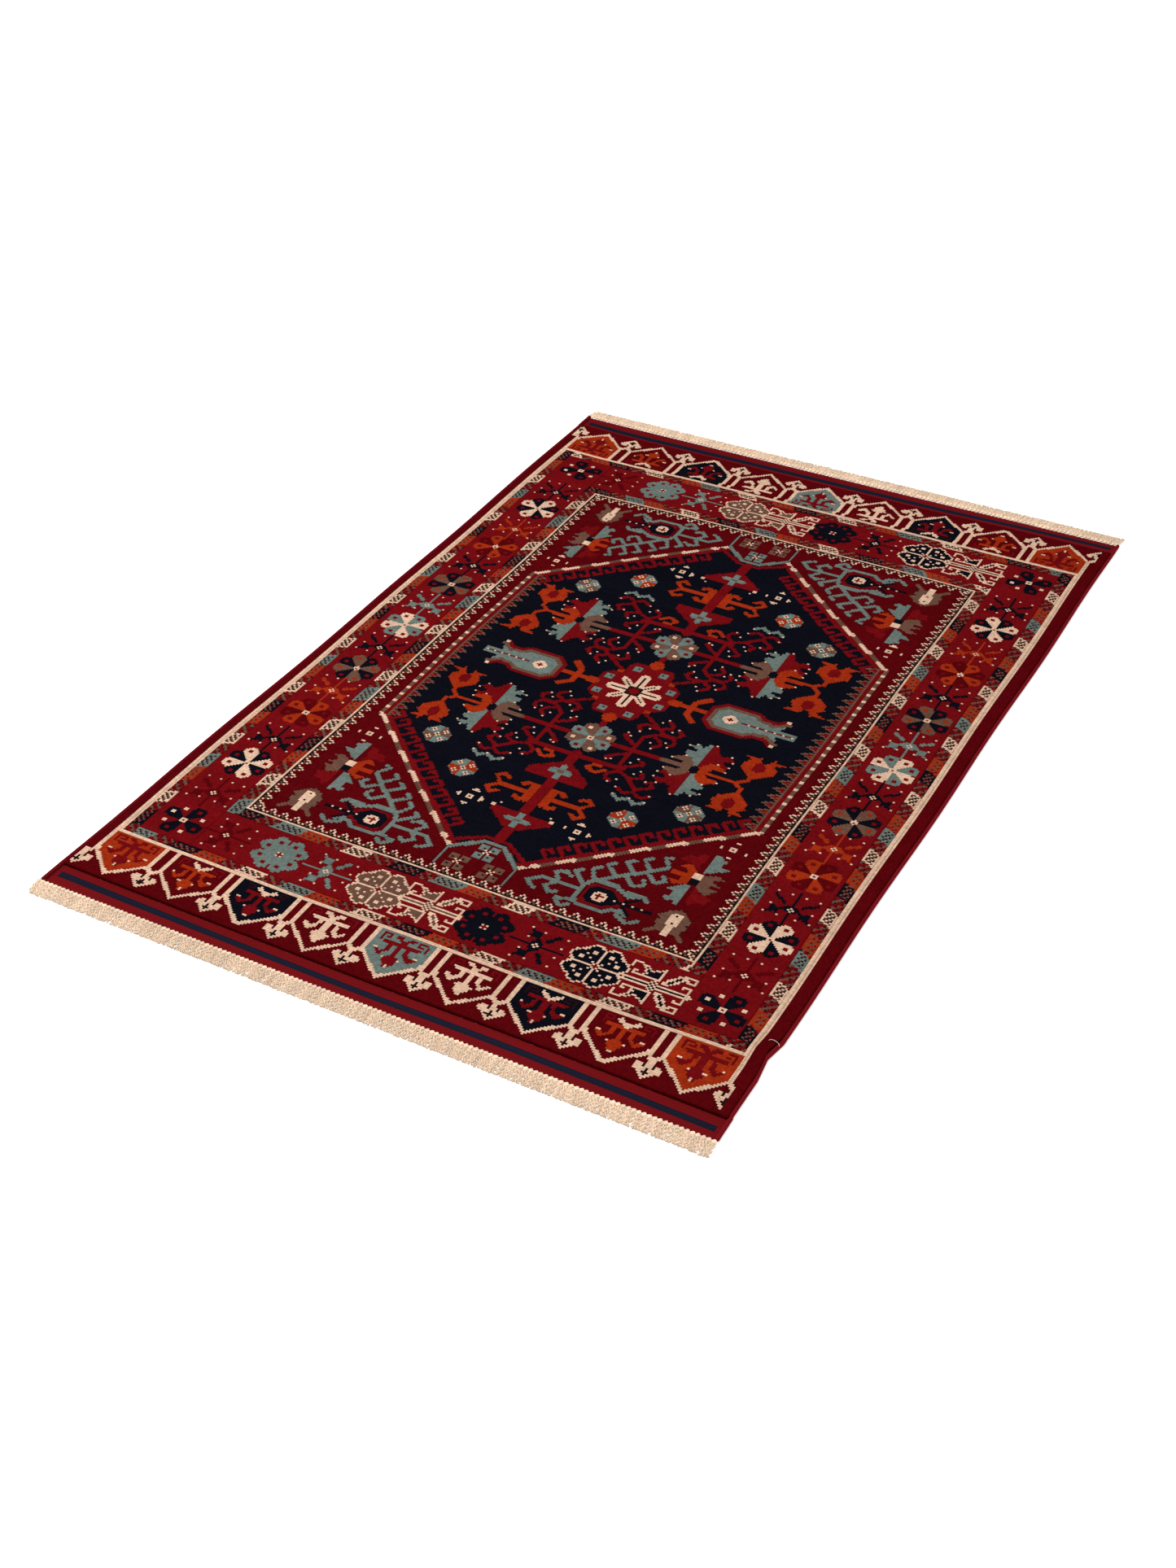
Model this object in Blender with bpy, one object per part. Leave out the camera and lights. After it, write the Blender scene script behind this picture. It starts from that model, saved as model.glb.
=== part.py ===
"""Hand-knotted area rug: a woven foundation that carries a knotted wool pile, flat-woven ends, two
wrapped side cords and a knotted fringe at each end.

Units are metres, +Z is up. X runs across the rug, Y runs along it and the rug lies on z = 0 with the
origin under its middle. "Near" is the -Y end, "left" is the -X side.

The pile is built zone by zone, as the knots are tied: plain ground, niche bands at the two ends, an
ivory frame, two guard stripes with the main border between them, a toothed stripe, and a field that
holds a long hexagon with a cup at each end and four cut-off corners.
"""

import math

import bmesh
import bpy

# Overall size, without and with the fringe.
WOVEN_WIDTH = 1.200
WOVEN_LENGTH = 1.825
FRINGE_YARN_LENGTH = 0.026
FRINGE_KNOT_LENGTH = 0.008

# Thicknesses, from the floor up.
FOUNDATION_THICKNESS = 0.0030
PILE_HEIGHT = 0.0060
SELVEDGE_DIAMETER = 0.0060
FRINGE_KNOT_HEIGHT = 0.0050
FRINGE_YARN_HEIGHT = 0.0035

# Room between two pieces that touch.
GAP = 0.0003

# Flat-woven ends, from the pile outwards to the fringe.
KILIM_INNER_RED = 0.0170
KILIM_NAVY = 0.0100
KILIM_OUTER_RED = 0.0140

# Plain ground along the two long sides; the right one is a little wider, as it was woven.
GROUND_LEFT = 0.0158
GROUND_RIGHT = 0.0277

# Pile bands from the outside in: width along the sides, and depth at the two ends.
NICHE_BAND_DEPTH = 0.1092
IVORY_FRAME_SIDE = 0.0079
IVORY_FRAME_END = 0.0075
OUTER_GUARD_SIDE = 0.0238
OUTER_GUARD_END = 0.0188
MAIN_BORDER_SIDE = 0.1030
MAIN_BORDER_END = 0.1054
INNER_GUARD_SIDE = 0.0238
INNER_GUARD_END = 0.0226
TOOTHED_STRIPE_SIDE = 0.0238
TOOTHED_STRIPE_END = 0.0226

# Field: straight edge strips, the corners' length, and the cup at each end of the hexagon.
FIELD_EDGE_WIDTH = 0.0170
CORNER_LENGTH = 0.3180
CUP_BASE_WIDTH = 0.1270
CUP_TOP_WIDTH = 0.0600
CUP_SIDE_LENGTH = 0.0500
CUP_LENGTH = 0.0885

# Fringe comb: one tassel of yarn ends and the slit beside it.
TASSEL_PITCH = 0.0250
TASSEL_SLIT = 0.0015
FRINGE_SPINE = 0.0040

# Yarn colours (linear RGB) and surface.
MADDER_RED = (0.230, 0.008, 0.014)
DEEP_RED = (0.120, 0.003, 0.008)
BRICK_RED = (0.190, 0.016, 0.018)
INDIGO = (0.010, 0.014, 0.032)
TEAL = (0.120, 0.220, 0.230)
BURNT_ORANGE = (0.480, 0.080, 0.014)
CAMEL = (0.130, 0.090, 0.062)
IVORY = (0.720, 0.560, 0.400)
WOOL_ROUGHNESS = 0.9

PILE_BOTTOM = FOUNDATION_THICKNESS + GAP
PILE_TOP = FOUNDATION_THICKNESS + PILE_HEIGHT
SELVEDGE_SIDES = 12


def clear_scene():
    """Remove every object, so that the rug stands alone."""
    for thing in list(bpy.data.objects):
        bpy.data.objects.remove(thing, do_unlink=True)


def wool(name, colour):
    """A dyed yarn as a plain Principled material."""
    material = bpy.data.materials.new(name)
    material.use_nodes = True
    shader = material.node_tree.nodes["Principled BSDF"]
    shader.inputs["Base Color"].default_value = (*colour, 1.0)
    shader.inputs["Roughness"].default_value = WOOL_ROUGHNESS
    shader.inputs["Metallic"].default_value = 0.0
    material.diffuse_color = (*colour, 1.0)
    return material


def add_object(name, shape, colour):
    """Turn a bmesh into a named object with its own yarn."""
    bmesh.ops.recalc_face_normals(shape, faces=shape.faces[:])
    mesh = bpy.data.meshes.new(name)
    shape.to_mesh(mesh)
    shape.free()
    mesh.materials.append(wool(name + "_wool", colour))
    thing = bpy.data.objects.new(name, mesh)
    bpy.context.scene.collection.objects.link(thing)
    return thing


def prism(name, outline, bottom, top, colour):
    """A flat piece: an outline in X and Y, raised from bottom to top."""
    shape = bmesh.new()
    corners = [shape.verts.new((x, y, bottom)) for x, y in outline]
    base = shape.faces.new(corners)
    raised = bmesh.ops.extrude_face_region(shape, geom=[base])["geom"]
    lifted = [part for part in raised if isinstance(part, bmesh.types.BMVert)]
    bmesh.ops.translate(shape, verts=lifted, vec=(0.0, 0.0, top - bottom))
    return add_object(name, shape, colour)


def slab(name, left, right, near, far, bottom, top, colour):
    """A straight-sided piece between two X and two Y positions."""
    outline = [(left, near), (right, near), (right, far), (left, far)]
    return prism(name, outline, bottom, top, colour)


def pile_strip(name, left, right, near, far, colour):
    """A pile zone whose borders with its neighbours lie half a gap outside it."""
    half = GAP / 2
    return slab(
        name, left + half, right - half, near + half, far - half, PILE_BOTTOM, PILE_TOP, colour
    )


def band(name, box, side, end, colour):
    """Four pile strips inside a box: two along its sides, two at its ends. Gives back what is left."""
    left, right, near, far = box
    pile_strip(name + "_left", left, left + side, near, far, colour)
    pile_strip(name + "_right", right - side, right, near, far, colour)
    pile_strip(name + "_near", left + side, right - side, near, near + end, colour)
    pile_strip(name + "_far", left + side, right - side, far - end, far, colour)
    return left + side, right - side, near + end, far - end


def shrink(outline, distance):
    """Move each side of an anticlockwise outline inwards."""
    count = len(outline)
    moved = []
    for index, (x, y) in enumerate(outline):
        before = outline[index - 1]
        after = outline[(index + 1) % count]
        normals = []
        for start, finish in ((before, (x, y)), ((x, y), after)):
            run = math.dist(start, finish)
            normals.append(((start[1] - finish[1]) / run, (finish[0] - start[0]) / run))
        (ax, ay), (bx, by) = normals
        reach = distance / (1.0 + ax * bx + ay * by)
        moved.append((x + (ax + bx) * reach, y + (ay + by) * reach))
    return moved


def foundation(half_width, half_length):
    """Warps and ground wefts under the pile, one cloth from side to side."""
    slab(
        "woven_foundation", -half_width, half_width, -half_length, half_length,
        0.0, FOUNDATION_THICKNESS, IVORY,
    )


def kilim_end(end, sign, half_width, start):
    """The flat-woven red cloth beyond the pile, with its navy stripe. Gives back where it stops."""
    bands = (
        ("inner_red", KILIM_INNER_RED, BRICK_RED),
        ("navy_stripe", KILIM_NAVY, INDIGO),
        ("outer_red", KILIM_OUTER_RED, BRICK_RED),
    )
    place = start
    for name, depth, colour in bands:
        edges = sorted((sign * (place + GAP), sign * (place + depth)))
        slab(
            f"kilim_{end}_{name}", -half_width, half_width, edges[0], edges[1],
            0.0, FOUNDATION_THICKNESS, colour,
        )
        place += depth
    return place


def selvedge(name, sign):
    """A side cord: edge warps bundled and wrapped with red wool, lying along the whole side."""
    radius = SELVEDGE_DIAMETER / 2
    # The polygon's flats touch the floor and the rug's outer edge.
    corner_radius = radius / math.cos(math.pi / SELVEDGE_SIDES)
    shape = bmesh.new()
    ring = []
    for step in range(SELVEDGE_SIDES):
        angle = 2 * math.pi * (step + 0.5) / SELVEDGE_SIDES
        x = sign * (WOVEN_WIDTH / 2 - radius) + corner_radius * math.cos(angle)
        z = radius + corner_radius * math.sin(angle)
        ring.append(shape.verts.new((x, -WOVEN_LENGTH / 2, z)))
    cap = shape.faces.new(ring)
    raised = bmesh.ops.extrude_face_region(shape, geom=[cap])["geom"]
    moved = [part for part in raised if isinstance(part, bmesh.types.BMVert)]
    bmesh.ops.translate(shape, verts=moved, vec=(0.0, WOVEN_LENGTH, 0.0))
    add_object(name, shape, DEEP_RED)


def fringe_knots(end, sign):
    """The row of rolled warp knots against the flat-woven end, as one chamfered bar."""
    inner = WOVEN_LENGTH / 2 + GAP
    outer = WOVEN_LENGTH / 2 + FRINGE_KNOT_LENGTH
    quarter = (outer - inner) / 4
    profile = (
        (inner, 0.0), (outer, 0.0), (outer, FRINGE_KNOT_HEIGHT / 2),
        (outer - quarter, FRINGE_KNOT_HEIGHT), (inner + quarter, FRINGE_KNOT_HEIGHT),
        (inner, FRINGE_KNOT_HEIGHT / 2),
    )
    shape = bmesh.new()
    ring = [shape.verts.new((-WOVEN_WIDTH / 2, sign * y, z)) for y, z in profile]
    cap = shape.faces.new(ring)
    raised = bmesh.ops.extrude_face_region(shape, geom=[cap])["geom"]
    moved = [part for part in raised if isinstance(part, bmesh.types.BMVert)]
    bmesh.ops.translate(shape, verts=moved, vec=(WOVEN_WIDTH, 0.0, 0.0))
    add_object(f"fringe_knots_{end}", shape, IVORY)


def fringe_yarns(end, sign):
    """The loose warp ends past their knots: a comb of tassels on a narrow spine."""
    root = WOVEN_LENGTH / 2 + FRINGE_KNOT_LENGTH + GAP
    split = root + FRINGE_SPINE
    tip = WOVEN_LENGTH / 2 + FRINGE_KNOT_LENGTH + FRINGE_YARN_LENGTH
    tassels = round(WOVEN_WIDTH / TASSEL_PITCH)
    pitch = (WOVEN_WIDTH + TASSEL_SLIT) / tassels
    shape = bmesh.new()
    inner_row = []
    split_row = []
    tip_row = []
    for index in range(tassels):
        start = -WOVEN_WIDTH / 2 + index * pitch
        for x in (start, start + pitch - TASSEL_SLIT):
            inner_row.append(shape.verts.new((x, sign * root, 0.0)))
            split_row.append(shape.verts.new((x, sign * split, 0.0)))
            tip_row.append(shape.verts.new((x, sign * tip, 0.0)))
    for index in range(len(inner_row) - 1):
        spine = (inner_row[index], inner_row[index + 1], split_row[index + 1], split_row[index])
        shape.faces.new(spine)
        if index % 2 == 0:
            yarns = (split_row[index], split_row[index + 1], tip_row[index + 1], tip_row[index])
            shape.faces.new(yarns)
    raised = bmesh.ops.extrude_face_region(shape, geom=shape.faces[:])["geom"]
    lifted = [part for part in raised if isinstance(part, bmesh.types.BMVert)]
    bmesh.ops.translate(shape, verts=lifted, vec=(0.0, 0.0, FRINGE_YARN_HEIGHT))
    add_object(f"fringe_yarns_{end}", shape, IVORY)


def field_pile(box):
    """The field: edge strips, four cut-off corners, two cups and the long navy hexagon."""
    left, right, near, far = box
    middle = (left + right) / 2
    half_length = (far - near) / 2
    side = (right - left) / 2 - FIELD_EDGE_WIDTH
    shoulder = half_length - CORNER_LENGTH
    base = CUP_BASE_WIDTH / 2
    top = CUP_TOP_WIDTH / 2
    cup_side = half_length - CUP_SIDE_LENGTH
    cup_top = half_length - CUP_LENGTH
    centre = (near + far) / 2

    pile_strip("field_edge_left", left, middle - side, centre - shoulder, centre + shoulder, MADDER_RED)
    pile_strip("field_edge_right", middle + side, right, centre - shoulder, centre + shoulder, MADDER_RED)

    def place(name, outline, along, across, colour):
        """Mirror a near-left outline to its own end and side, and build it."""
        points = [(middle - across * x, centre - along * y) for x, y in outline]
        if along * across < 0:
            points.reverse()
        prism(name, shrink(points, GAP / 2), PILE_BOTTOM, PILE_TOP, colour)

    # Outlines as distances from the middle: x to the side, y to the end, anticlockwise at near left.
    half_width = (right - left) / 2
    corner = [(half_width, half_length), (base, half_length), (base, cup_side), (side, shoulder)]
    corner.append((half_width, shoulder))
    cup = [(base, half_length), (-base, half_length), (-base, cup_side), (-top, cup_top)]
    cup += [(top, cup_top), (base, cup_side)]
    for end, along in (("near", 1), ("far", -1)):
        place(f"field_cup_{end}", cup, along, 1, MADDER_RED)
        for hand, across in (("left", 1), ("right", -1)):
            place(f"field_corner_{end}_{hand}", corner, along, across, MADDER_RED)

    # The hexagon's middle is a straight block; its two ends taper and are notched by the cups.
    taper = [(side, shoulder), (base, cup_side), (top, cup_top), (-top, cup_top)]
    taper += [(-base, cup_side), (-side, shoulder)]
    pile_strip("hexagon_middle", middle - side, middle + side, centre - shoulder, centre + shoulder, INDIGO)
    for end, along in (("near", 1), ("far", -1)):
        place(f"hexagon_{end}", taper, along, 1, INDIGO)


def build():
    """Put the rug together from the floor up and from the outside in."""
    clear_scene()
    inner_half_width = WOVEN_WIDTH / 2 - SELVEDGE_DIAMETER - GAP
    kilim_length = KILIM_INNER_RED + KILIM_NAVY + KILIM_OUTER_RED
    pile_half_length = WOVEN_LENGTH / 2 - kilim_length

    foundation(inner_half_width, pile_half_length)
    for end, sign in (("near", -1), ("far", 1)):
        kilim_end(end, sign, inner_half_width, pile_half_length)
        fringe_knots(end, sign)
        fringe_yarns(end, sign)
    selvedge("selvedge_left", -1)
    selvedge("selvedge_right", 1)

    near = -pile_half_length
    far = pile_half_length
    left = -inner_half_width
    right = inner_half_width
    pile_strip("ground_left", left, left + GROUND_LEFT, near, far, DEEP_RED)
    pile_strip("ground_right", right - GROUND_RIGHT, right, near, far, DEEP_RED)
    left += GROUND_LEFT
    right -= GROUND_RIGHT
    pile_strip("niche_band_near", left, right, near, near + NICHE_BAND_DEPTH, DEEP_RED)
    pile_strip("niche_band_far", left, right, far - NICHE_BAND_DEPTH, far, DEEP_RED)

    box = (left, right, near + NICHE_BAND_DEPTH, far - NICHE_BAND_DEPTH)
    box = band("ivory_frame", box, IVORY_FRAME_SIDE, IVORY_FRAME_END, IVORY)
    box = band("outer_guard", box, OUTER_GUARD_SIDE, OUTER_GUARD_END, CAMEL)
    box = band("main_border", box, MAIN_BORDER_SIDE, MAIN_BORDER_END, MADDER_RED)
    box = band("inner_guard", box, INNER_GUARD_SIDE, INNER_GUARD_END, BURNT_ORANGE)
    box = band("toothed_stripe", box, TOOTHED_STRIPE_SIDE, TOOTHED_STRIPE_END, TEAL)
    field_pile(box)


build()
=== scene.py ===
import math

import bpy
import numpy as np
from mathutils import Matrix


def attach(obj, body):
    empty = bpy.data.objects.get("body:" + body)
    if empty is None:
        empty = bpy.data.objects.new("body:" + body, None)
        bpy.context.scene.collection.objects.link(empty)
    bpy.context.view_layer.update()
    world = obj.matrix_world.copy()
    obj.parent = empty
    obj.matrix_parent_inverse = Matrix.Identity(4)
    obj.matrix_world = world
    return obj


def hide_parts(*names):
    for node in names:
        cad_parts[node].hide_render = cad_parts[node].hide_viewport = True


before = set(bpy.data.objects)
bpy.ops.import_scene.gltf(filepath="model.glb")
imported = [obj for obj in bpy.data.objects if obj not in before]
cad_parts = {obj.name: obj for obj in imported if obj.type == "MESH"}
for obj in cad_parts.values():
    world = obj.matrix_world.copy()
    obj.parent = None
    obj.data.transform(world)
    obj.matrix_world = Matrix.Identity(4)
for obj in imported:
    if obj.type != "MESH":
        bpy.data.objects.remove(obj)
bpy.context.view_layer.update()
rng = np.random.default_rng(11)


# ---------------------------------------------------------------- camera
# A person standing off the right side of the near end and looking down along the rug.
# The rug runs away to the upper right, its near left corner comes close to the left edge.
camera_data = bpy.data.cameras.new("camera")
camera_data.sensor_fit = "AUTO"
camera_data.sensor_width = 36.0
camera_data.lens = 47.92
camera = bpy.data.objects.new("camera", camera_data)
bpy.context.scene.collection.objects.link(camera)
camera.location = (1.4113, -2.7523, 2.1125)
camera.rotation_euler = (math.radians(53.262), math.radians(0.346), math.radians(28.636))
camera_data.clip_end = 60.0
bpy.context.scene.camera = camera
# Colours are shown as they are, without a film curve.
bpy.context.scene.view_settings.view_transform = "Standard"


# ---------------------------------------------------------------- floor and light
# A plain pale studio floor, flat and much wider than the rug, in even pale air.
# One big soft lamp overhead and a weaker one from the left: no hard shadow, only a faint one.
def linear(code):
    """A colour written as sRGB hex, as the linear RGBA that shaders work in."""
    parts = [int(code[i:i + 2], 16) / 255.0 for i in (1, 3, 5)]
    curve = [c / 12.92 if c <= 0.04045 else ((c + 0.055) / 1.055) ** 2.4 for c in parts]
    return (*curve, 1.0)


def add(tree, kind, sockets=None, **settings):
    """Adds one shader node, sets its options, and fills or links its inputs by name."""
    made = tree.nodes.new(kind)
    for name, value in settings.items():
        setattr(made, name, value)
    for name, value in (sockets or {}).items():
        if isinstance(value, bpy.types.NodeSocket):
            tree.links.new(value, made.inputs[name])
        else:
            made.inputs[name].default_value = value
    return made


def blank_material(name):
    """A new material with one Principled shader, ready to be given its surface."""
    material = bpy.data.materials.new(name)
    material.use_nodes = True
    return material, material.node_tree, material.node_tree.nodes["Principled BSDF"]


FLOOR_HALF = 14.0
floor_mesh = bpy.data.meshes.new("studio_floor")
floor_corners = [(x * FLOOR_HALF, y * FLOOR_HALF, 0.0) for x, y in ((-1, -1), (1, -1), (1, 1), (-1, 1))]
floor_mesh.from_pydata(floor_corners, [], [(0, 1, 2, 3)])
floor = bpy.data.objects.new("studio_floor", floor_mesh)
bpy.context.scene.collection.objects.link(floor)
floor_paint, tree, shader = blank_material("matt_white_floor_paint")
speckle = add(tree, "ShaderNodeTexNoise", {"Scale": 3.0, "Detail": 2.0})
shade = add(tree, "ShaderNodeMapRange", {"Value": speckle.outputs[0], "To Min": 0.985, "To Max": 1.0})
tone = add(tree, "ShaderNodeHueSaturation", {"Color": linear("#fbfbfb"), "Value": shade.outputs[0]})
tree.links.new(tone.outputs[0], shader.inputs["Base Color"])
shader.inputs["Roughness"].default_value = 0.85
# The floor is a lit white sheet: a little light comes through it from below.
shader.inputs["Emission Color"].default_value = (1.0, 1.0, 1.0, 1.0)
shader.inputs["Emission Strength"].default_value = 0.38
floor_mesh.materials.append(floor_paint)

world = bpy.data.worlds.new("studio_air")
bpy.context.scene.world = world
world.use_nodes = True
air = world.node_tree.nodes["Background"]
air.inputs["Color"].default_value = (1.0, 0.995, 0.985, 1.0)
air.inputs["Strength"].default_value = 0.62


def soft_lamp(name, place, aim, size, power):
    """A square soft box at one place, turned to face another."""
    data = bpy.data.lights.new(name, "AREA")
    data.size = size
    data.energy = power
    lamp = bpy.data.objects.new(name, data)
    lamp.location = place
    away = (np.array(place) - np.array(aim)).tolist()
    lamp.rotation_euler = (
        math.atan2(math.hypot(away[0], away[1]), away[2]), 0.0, math.atan2(away[0], -away[1])
    )
    bpy.context.scene.collection.objects.link(lamp)
    return lamp


soft_lamp("overhead_soft_box", (-0.4, -0.5, 3.4), (0.0, -0.2, 0.0), 2.6, 72.0)
soft_lamp("left_soft_box", (-3.2, -1.2, 2.0), (0.0, 0.0, 0.0), 1.8, 30.0)


# ---------------------------------------------------------------- how the rug was laid out
# The loom gives 300 knots across and 463 rows, 3.96 mm by 3.76 mm each. No row came out straight:
# the weaver's beating let lines wander by a few knots, and the cloth is pinched near one corner.
KNOT_ACROSS = 0.00396
KNOT_ALONG = 0.0037646
COLUMNS = np.arange(-148, 152)
ROWS = np.arange(-231, 232)


def wander(u, v):
    """How far the cloth strays from an even grid at a place on the chart, in knots."""
    marks = [-150.0, -120.0, -60.0, 0.0, 60.0, 100.0, 150.0]
    rows_along = {
        -243.0: [0.0, 0.0, 0.0, 0.0, 0.0, 0.0, 0.0],
        -237.0: [2.2, 1.6, 0.6, 0.0, 1.1, 0.6, -0.2],
        -232.0: [1.3, 0.8, 0.2, 0.0, 0.7, 0.4, 0.0],
        -202.0: [1.2, 0.4, 0.2, 0.9, 1.0, 1.2, 3.7],
        -161.0: [-1.6, -1.1, -0.5, 0.0, 0.4, 0.8, 1.1],
        0.0: [0.0, 0.3, 0.0, -0.3, 0.0, 0.3, 0.0],
        161.0: [-0.8, 0.0, 1.0, 1.8, 1.5, 1.2, 1.0],
        202.0: [-1.6, -2.8, -1.5, -0.7, -0.2, 0.5, 0.5],
        232.0: [-1.0, -2.8, -2.2, -2.0, -1.7, 0.0, 0.5],
        237.0: [-1.8, -3.9, -2.9, -2.5, -2.2, 0.2, 1.0],
        243.0: [0.0, 0.0, 0.0, 0.0, 0.0, 0.0, 0.0],
    }
    heights = sorted(rows_along)
    along = np.zeros(np.shape(u))
    for slip in (-10.0, 0.0, 10.0):
        lines = [np.interp(u + slip, marks, rows_along[h]) for h in heights]
        for low, high, near, far in zip(heights, heights[1:], lines, lines[1:]):
            inside = (v >= low) & (v < high)
            part = (v - low) / (high - low)
            along += np.where(inside, near * (1.0 - part) + far * part, 0.0) / 3.0
    left = np.interp(v, [-243, -150, 0, 150, 243], [-0.2, 0.3, 1.3, 0.3, -0.6])
    right = np.interp(v, [-243, -208, -195.5, -185, 0, 243], [-0.6, -0.9, -2.5, -0.7, -0.4, -0.2])
    axis = np.interp(v, [-160, 0, 90, 160, 205], [0.0, -1.6, -2.5, -3.0, -1.0])
    axis = np.where(v < -160, 0.0, np.where(v > 205, 0.0, axis))
    across = left * np.clip((-u - 140.0) / 10.0, 0.0, 1.0)
    across += right * np.clip((u - 140.0) / 12.0, 0.0, 1.0)
    across += axis * np.clip((90.0 - np.abs(u)) / 35.0, 0.0, 1.0)
    across += 0.35 * np.sin(v / 23.0 + u / 60.0) * (np.abs(v) < 230)
    along += 0.25 * np.sin(u / 17.0 + v / 40.0) * (np.abs(v) < 230)
    return across, along


def lay(u, v):
    """The place on the floor, in metres, of a place on the chart, in knots."""
    u = np.asarray(u, float)
    v = np.asarray(v, float)
    across, along = wander(u, v)
    return (u - 1.5 + across) * KNOT_ACROSS, (v + along) * KNOT_ALONG


def dyed_wool(name, code, worn=0.12, shade_heights=None):
    """Wool: each tuft a little lighter or darker, fine fibres, bands of uneven dye, and painted shade in
    the hollows.

    The two heights given for the painted shade are where the hollows between tufts and the tufts' tips lie:
    the wool is painted darker towards the hollows and lighter towards the tips."""
    material, tree, shader = blank_material(name)
    place = add(tree, "ShaderNodeNewGeometry").outputs["Position"]
    spot = add(tree, "ShaderNodeSeparateXYZ", {"Vector": place})
    # The weaver changed dye lots as rows went up: faint bands, far wider across than along.
    stretch = add(tree, "ShaderNodeMapping", {"Vector": place, "Scale": (1.6, 22.0, 1.0)})
    lots = add(tree, "ShaderNodeTexNoise", {"Vector": stretch.outputs[0], "Scale": 1.0, "Detail": 3.0})
    # Single fibres are too fine to show; these strands are 0.8 mm apart.
    fibres = add(tree, "ShaderNodeTexNoise", {
        "Vector": place, "Scale": 1.0 / 0.0008, "Detail": 2.0, "Roughness": 0.6,
    })
    tuft = add(tree, "ShaderNodeAttribute", attribute_name="tuft")
    # Each shade runs between two readings of its source, from its least to its most.
    shades = [
        (lots.outputs[0], 0.3, 0.7, 0.9, 1.1),
        (fibres.outputs[0], 0.3, 0.7, 1.0 - worn, 1.0 + worn),
        # Painted light: the left side is a little lighter and the right a little darker, as the light falls
        # from the left.
        (spot.outputs["X"], -0.6, 0.6, 1.04, 0.99),
    ]
    if shade_heights is not None:
        # Painted shade and painted light: darker the lower the surface lies, lighter up at the tips.
        shades.append((spot.outputs["Z"], *shade_heights, 0.6, 1.13))
    shades.append((tuft.outputs["Fac"], 0.0, 1.0, 0.86, 1.14))
    value = None
    for source, low, high, least, most in shades:
        shade = add(tree, "ShaderNodeMapRange", {
            "Value": source, "From Min": low, "From Max": high, "To Min": least, "To Max": most,
        })
        if value is not None:
            shade = add(tree, "ShaderNodeMath", {0: value, 1: shade.outputs[0]}, operation="MULTIPLY")
        value = shade.outputs[0]
    tone = add(tree, "ShaderNodeHueSaturation", {"Color": linear(code), "Value": value})
    bump = add(tree, "ShaderNodeBump", {
        "Height": fibres.outputs[0], "Strength": 0.35, "Distance": 0.0004,
    })
    tree.links.new(tone.outputs[0], shader.inputs["Base Color"])
    tree.links.new(bump.outputs[0], shader.inputs["Normal"])
    # Short wool pile is matt: a rough surface with no gloss and only a breath of sheen.
    shader.inputs["Roughness"].default_value = 0.88
    shader.inputs["Specular IOR Level"].default_value = 0.0
    shader.inputs["Sheen Weight"].default_value = 0.02
    shader.inputs["Sheen Roughness"].default_value = 0.5
    shader.inputs["Sheen Tint"].default_value = linear(code)
    return material


def surface(name, points, faces, materials, yarns, tufts, smooth):
    """One closed textile piece from its points and faces, with a yarn and a tint for each face."""
    mesh = bpy.data.meshes.new(name)
    mesh.from_pydata(points, [], faces)
    for material in materials:
        mesh.materials.append(material)
    mesh.polygons.foreach_set("material_index", np.asarray(yarns, np.int32))
    mesh.polygons.foreach_set("use_smooth", np.asarray(smooth, bool))
    tint = mesh.attributes.new("tuft", "FLOAT", "FACE")
    tint.data.foreach_set("value", np.asarray(tufts, np.float32))
    # A flat map from above, so that knots keep their square shape when colours are baked.
    uv = mesh.uv_layers.new(name="OFBake")
    corner = np.empty(len(mesh.loops), np.int32)
    mesh.loops.foreach_get("vertex_index", corner)
    spots = np.asarray(points, float)[:, :2]
    low = spots.min(axis=0)
    spread = spots.max(axis=0) - low
    flat = (spots[corner] - low) / spread * 0.98 + 0.01
    uv.data.foreach_set("uv", flat.astype(np.float32).ravel())
    mesh.update()
    thing = bpy.data.objects.new(name, mesh)
    bpy.context.scene.collection.objects.link(thing)
    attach(thing, "root")
    return thing


# ---------------------------------------------------------------- woven foundation
# Undyed wool warps with a ground weft thrown between rows, one cloth from side cord to side cord.
# It is hidden by the pile on top; underneath each knot shows as a small ridge over its warps.
# It is fixed by being woven through: every knot, kilim weft and side cord holds on to its warps.
undyed_wool = dyed_wool("undyed_foundation_wool", "#b79f7f")
FOUNDATION_FOOT = 0.0001
FOUNDATION_TOP = 0.0029
WARP_RIDGE = 0.0005
grid_u, grid_v = np.meshgrid(np.arange(-148.5, 151.6, 2.0), np.linspace(-230.9, 230.9, 233))
ground_x, ground_y = lay(grid_u, grid_v)
ridge = (np.indices(grid_u.shape).sum(axis=0) % 2) * WARP_RIDGE
top = np.stack([ground_x, ground_y, FOUNDATION_TOP - ridge], axis=-1).reshape(-1, 3)
under = np.stack([ground_x, ground_y, FOUNDATION_FOOT + ridge], axis=-1).reshape(-1, 3)


def cloth_faces(rows, columns):
    """Faces of a sheet with two sides and closed edges, from a grid of points laid out twice."""
    index = np.arange(rows * columns).reshape(rows, columns)
    a, b, c, d = index[:-1, :-1], index[:-1, 1:], index[1:, 1:], index[1:, :-1]
    upper = np.stack([a, b, c, d], axis=-1).reshape(-1, 4)
    lower = np.stack([d, c, b, a], axis=-1).reshape(-1, 4) + rows * columns
    rim = np.concatenate([index[0, :], index[1:, -1], index[-1, -2::-1], index[-2:0:-1, 0]])
    after = np.roll(rim, -1)
    walls = np.stack([after, rim, rim + rows * columns, after + rows * columns], axis=-1)
    return np.concatenate([upper, lower, walls])


foundation_faces = cloth_faces(*grid_u.shape)
foundation = surface(
    "woven_foundation_cloth", np.concatenate([top, under]).tolist(), foundation_faces.tolist(),
    [undyed_wool], np.zeros(len(foundation_faces)), rng.random(len(foundation_faces)),
    np.ones(len(foundation_faces)),
)
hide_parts("woven_foundation")
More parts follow.
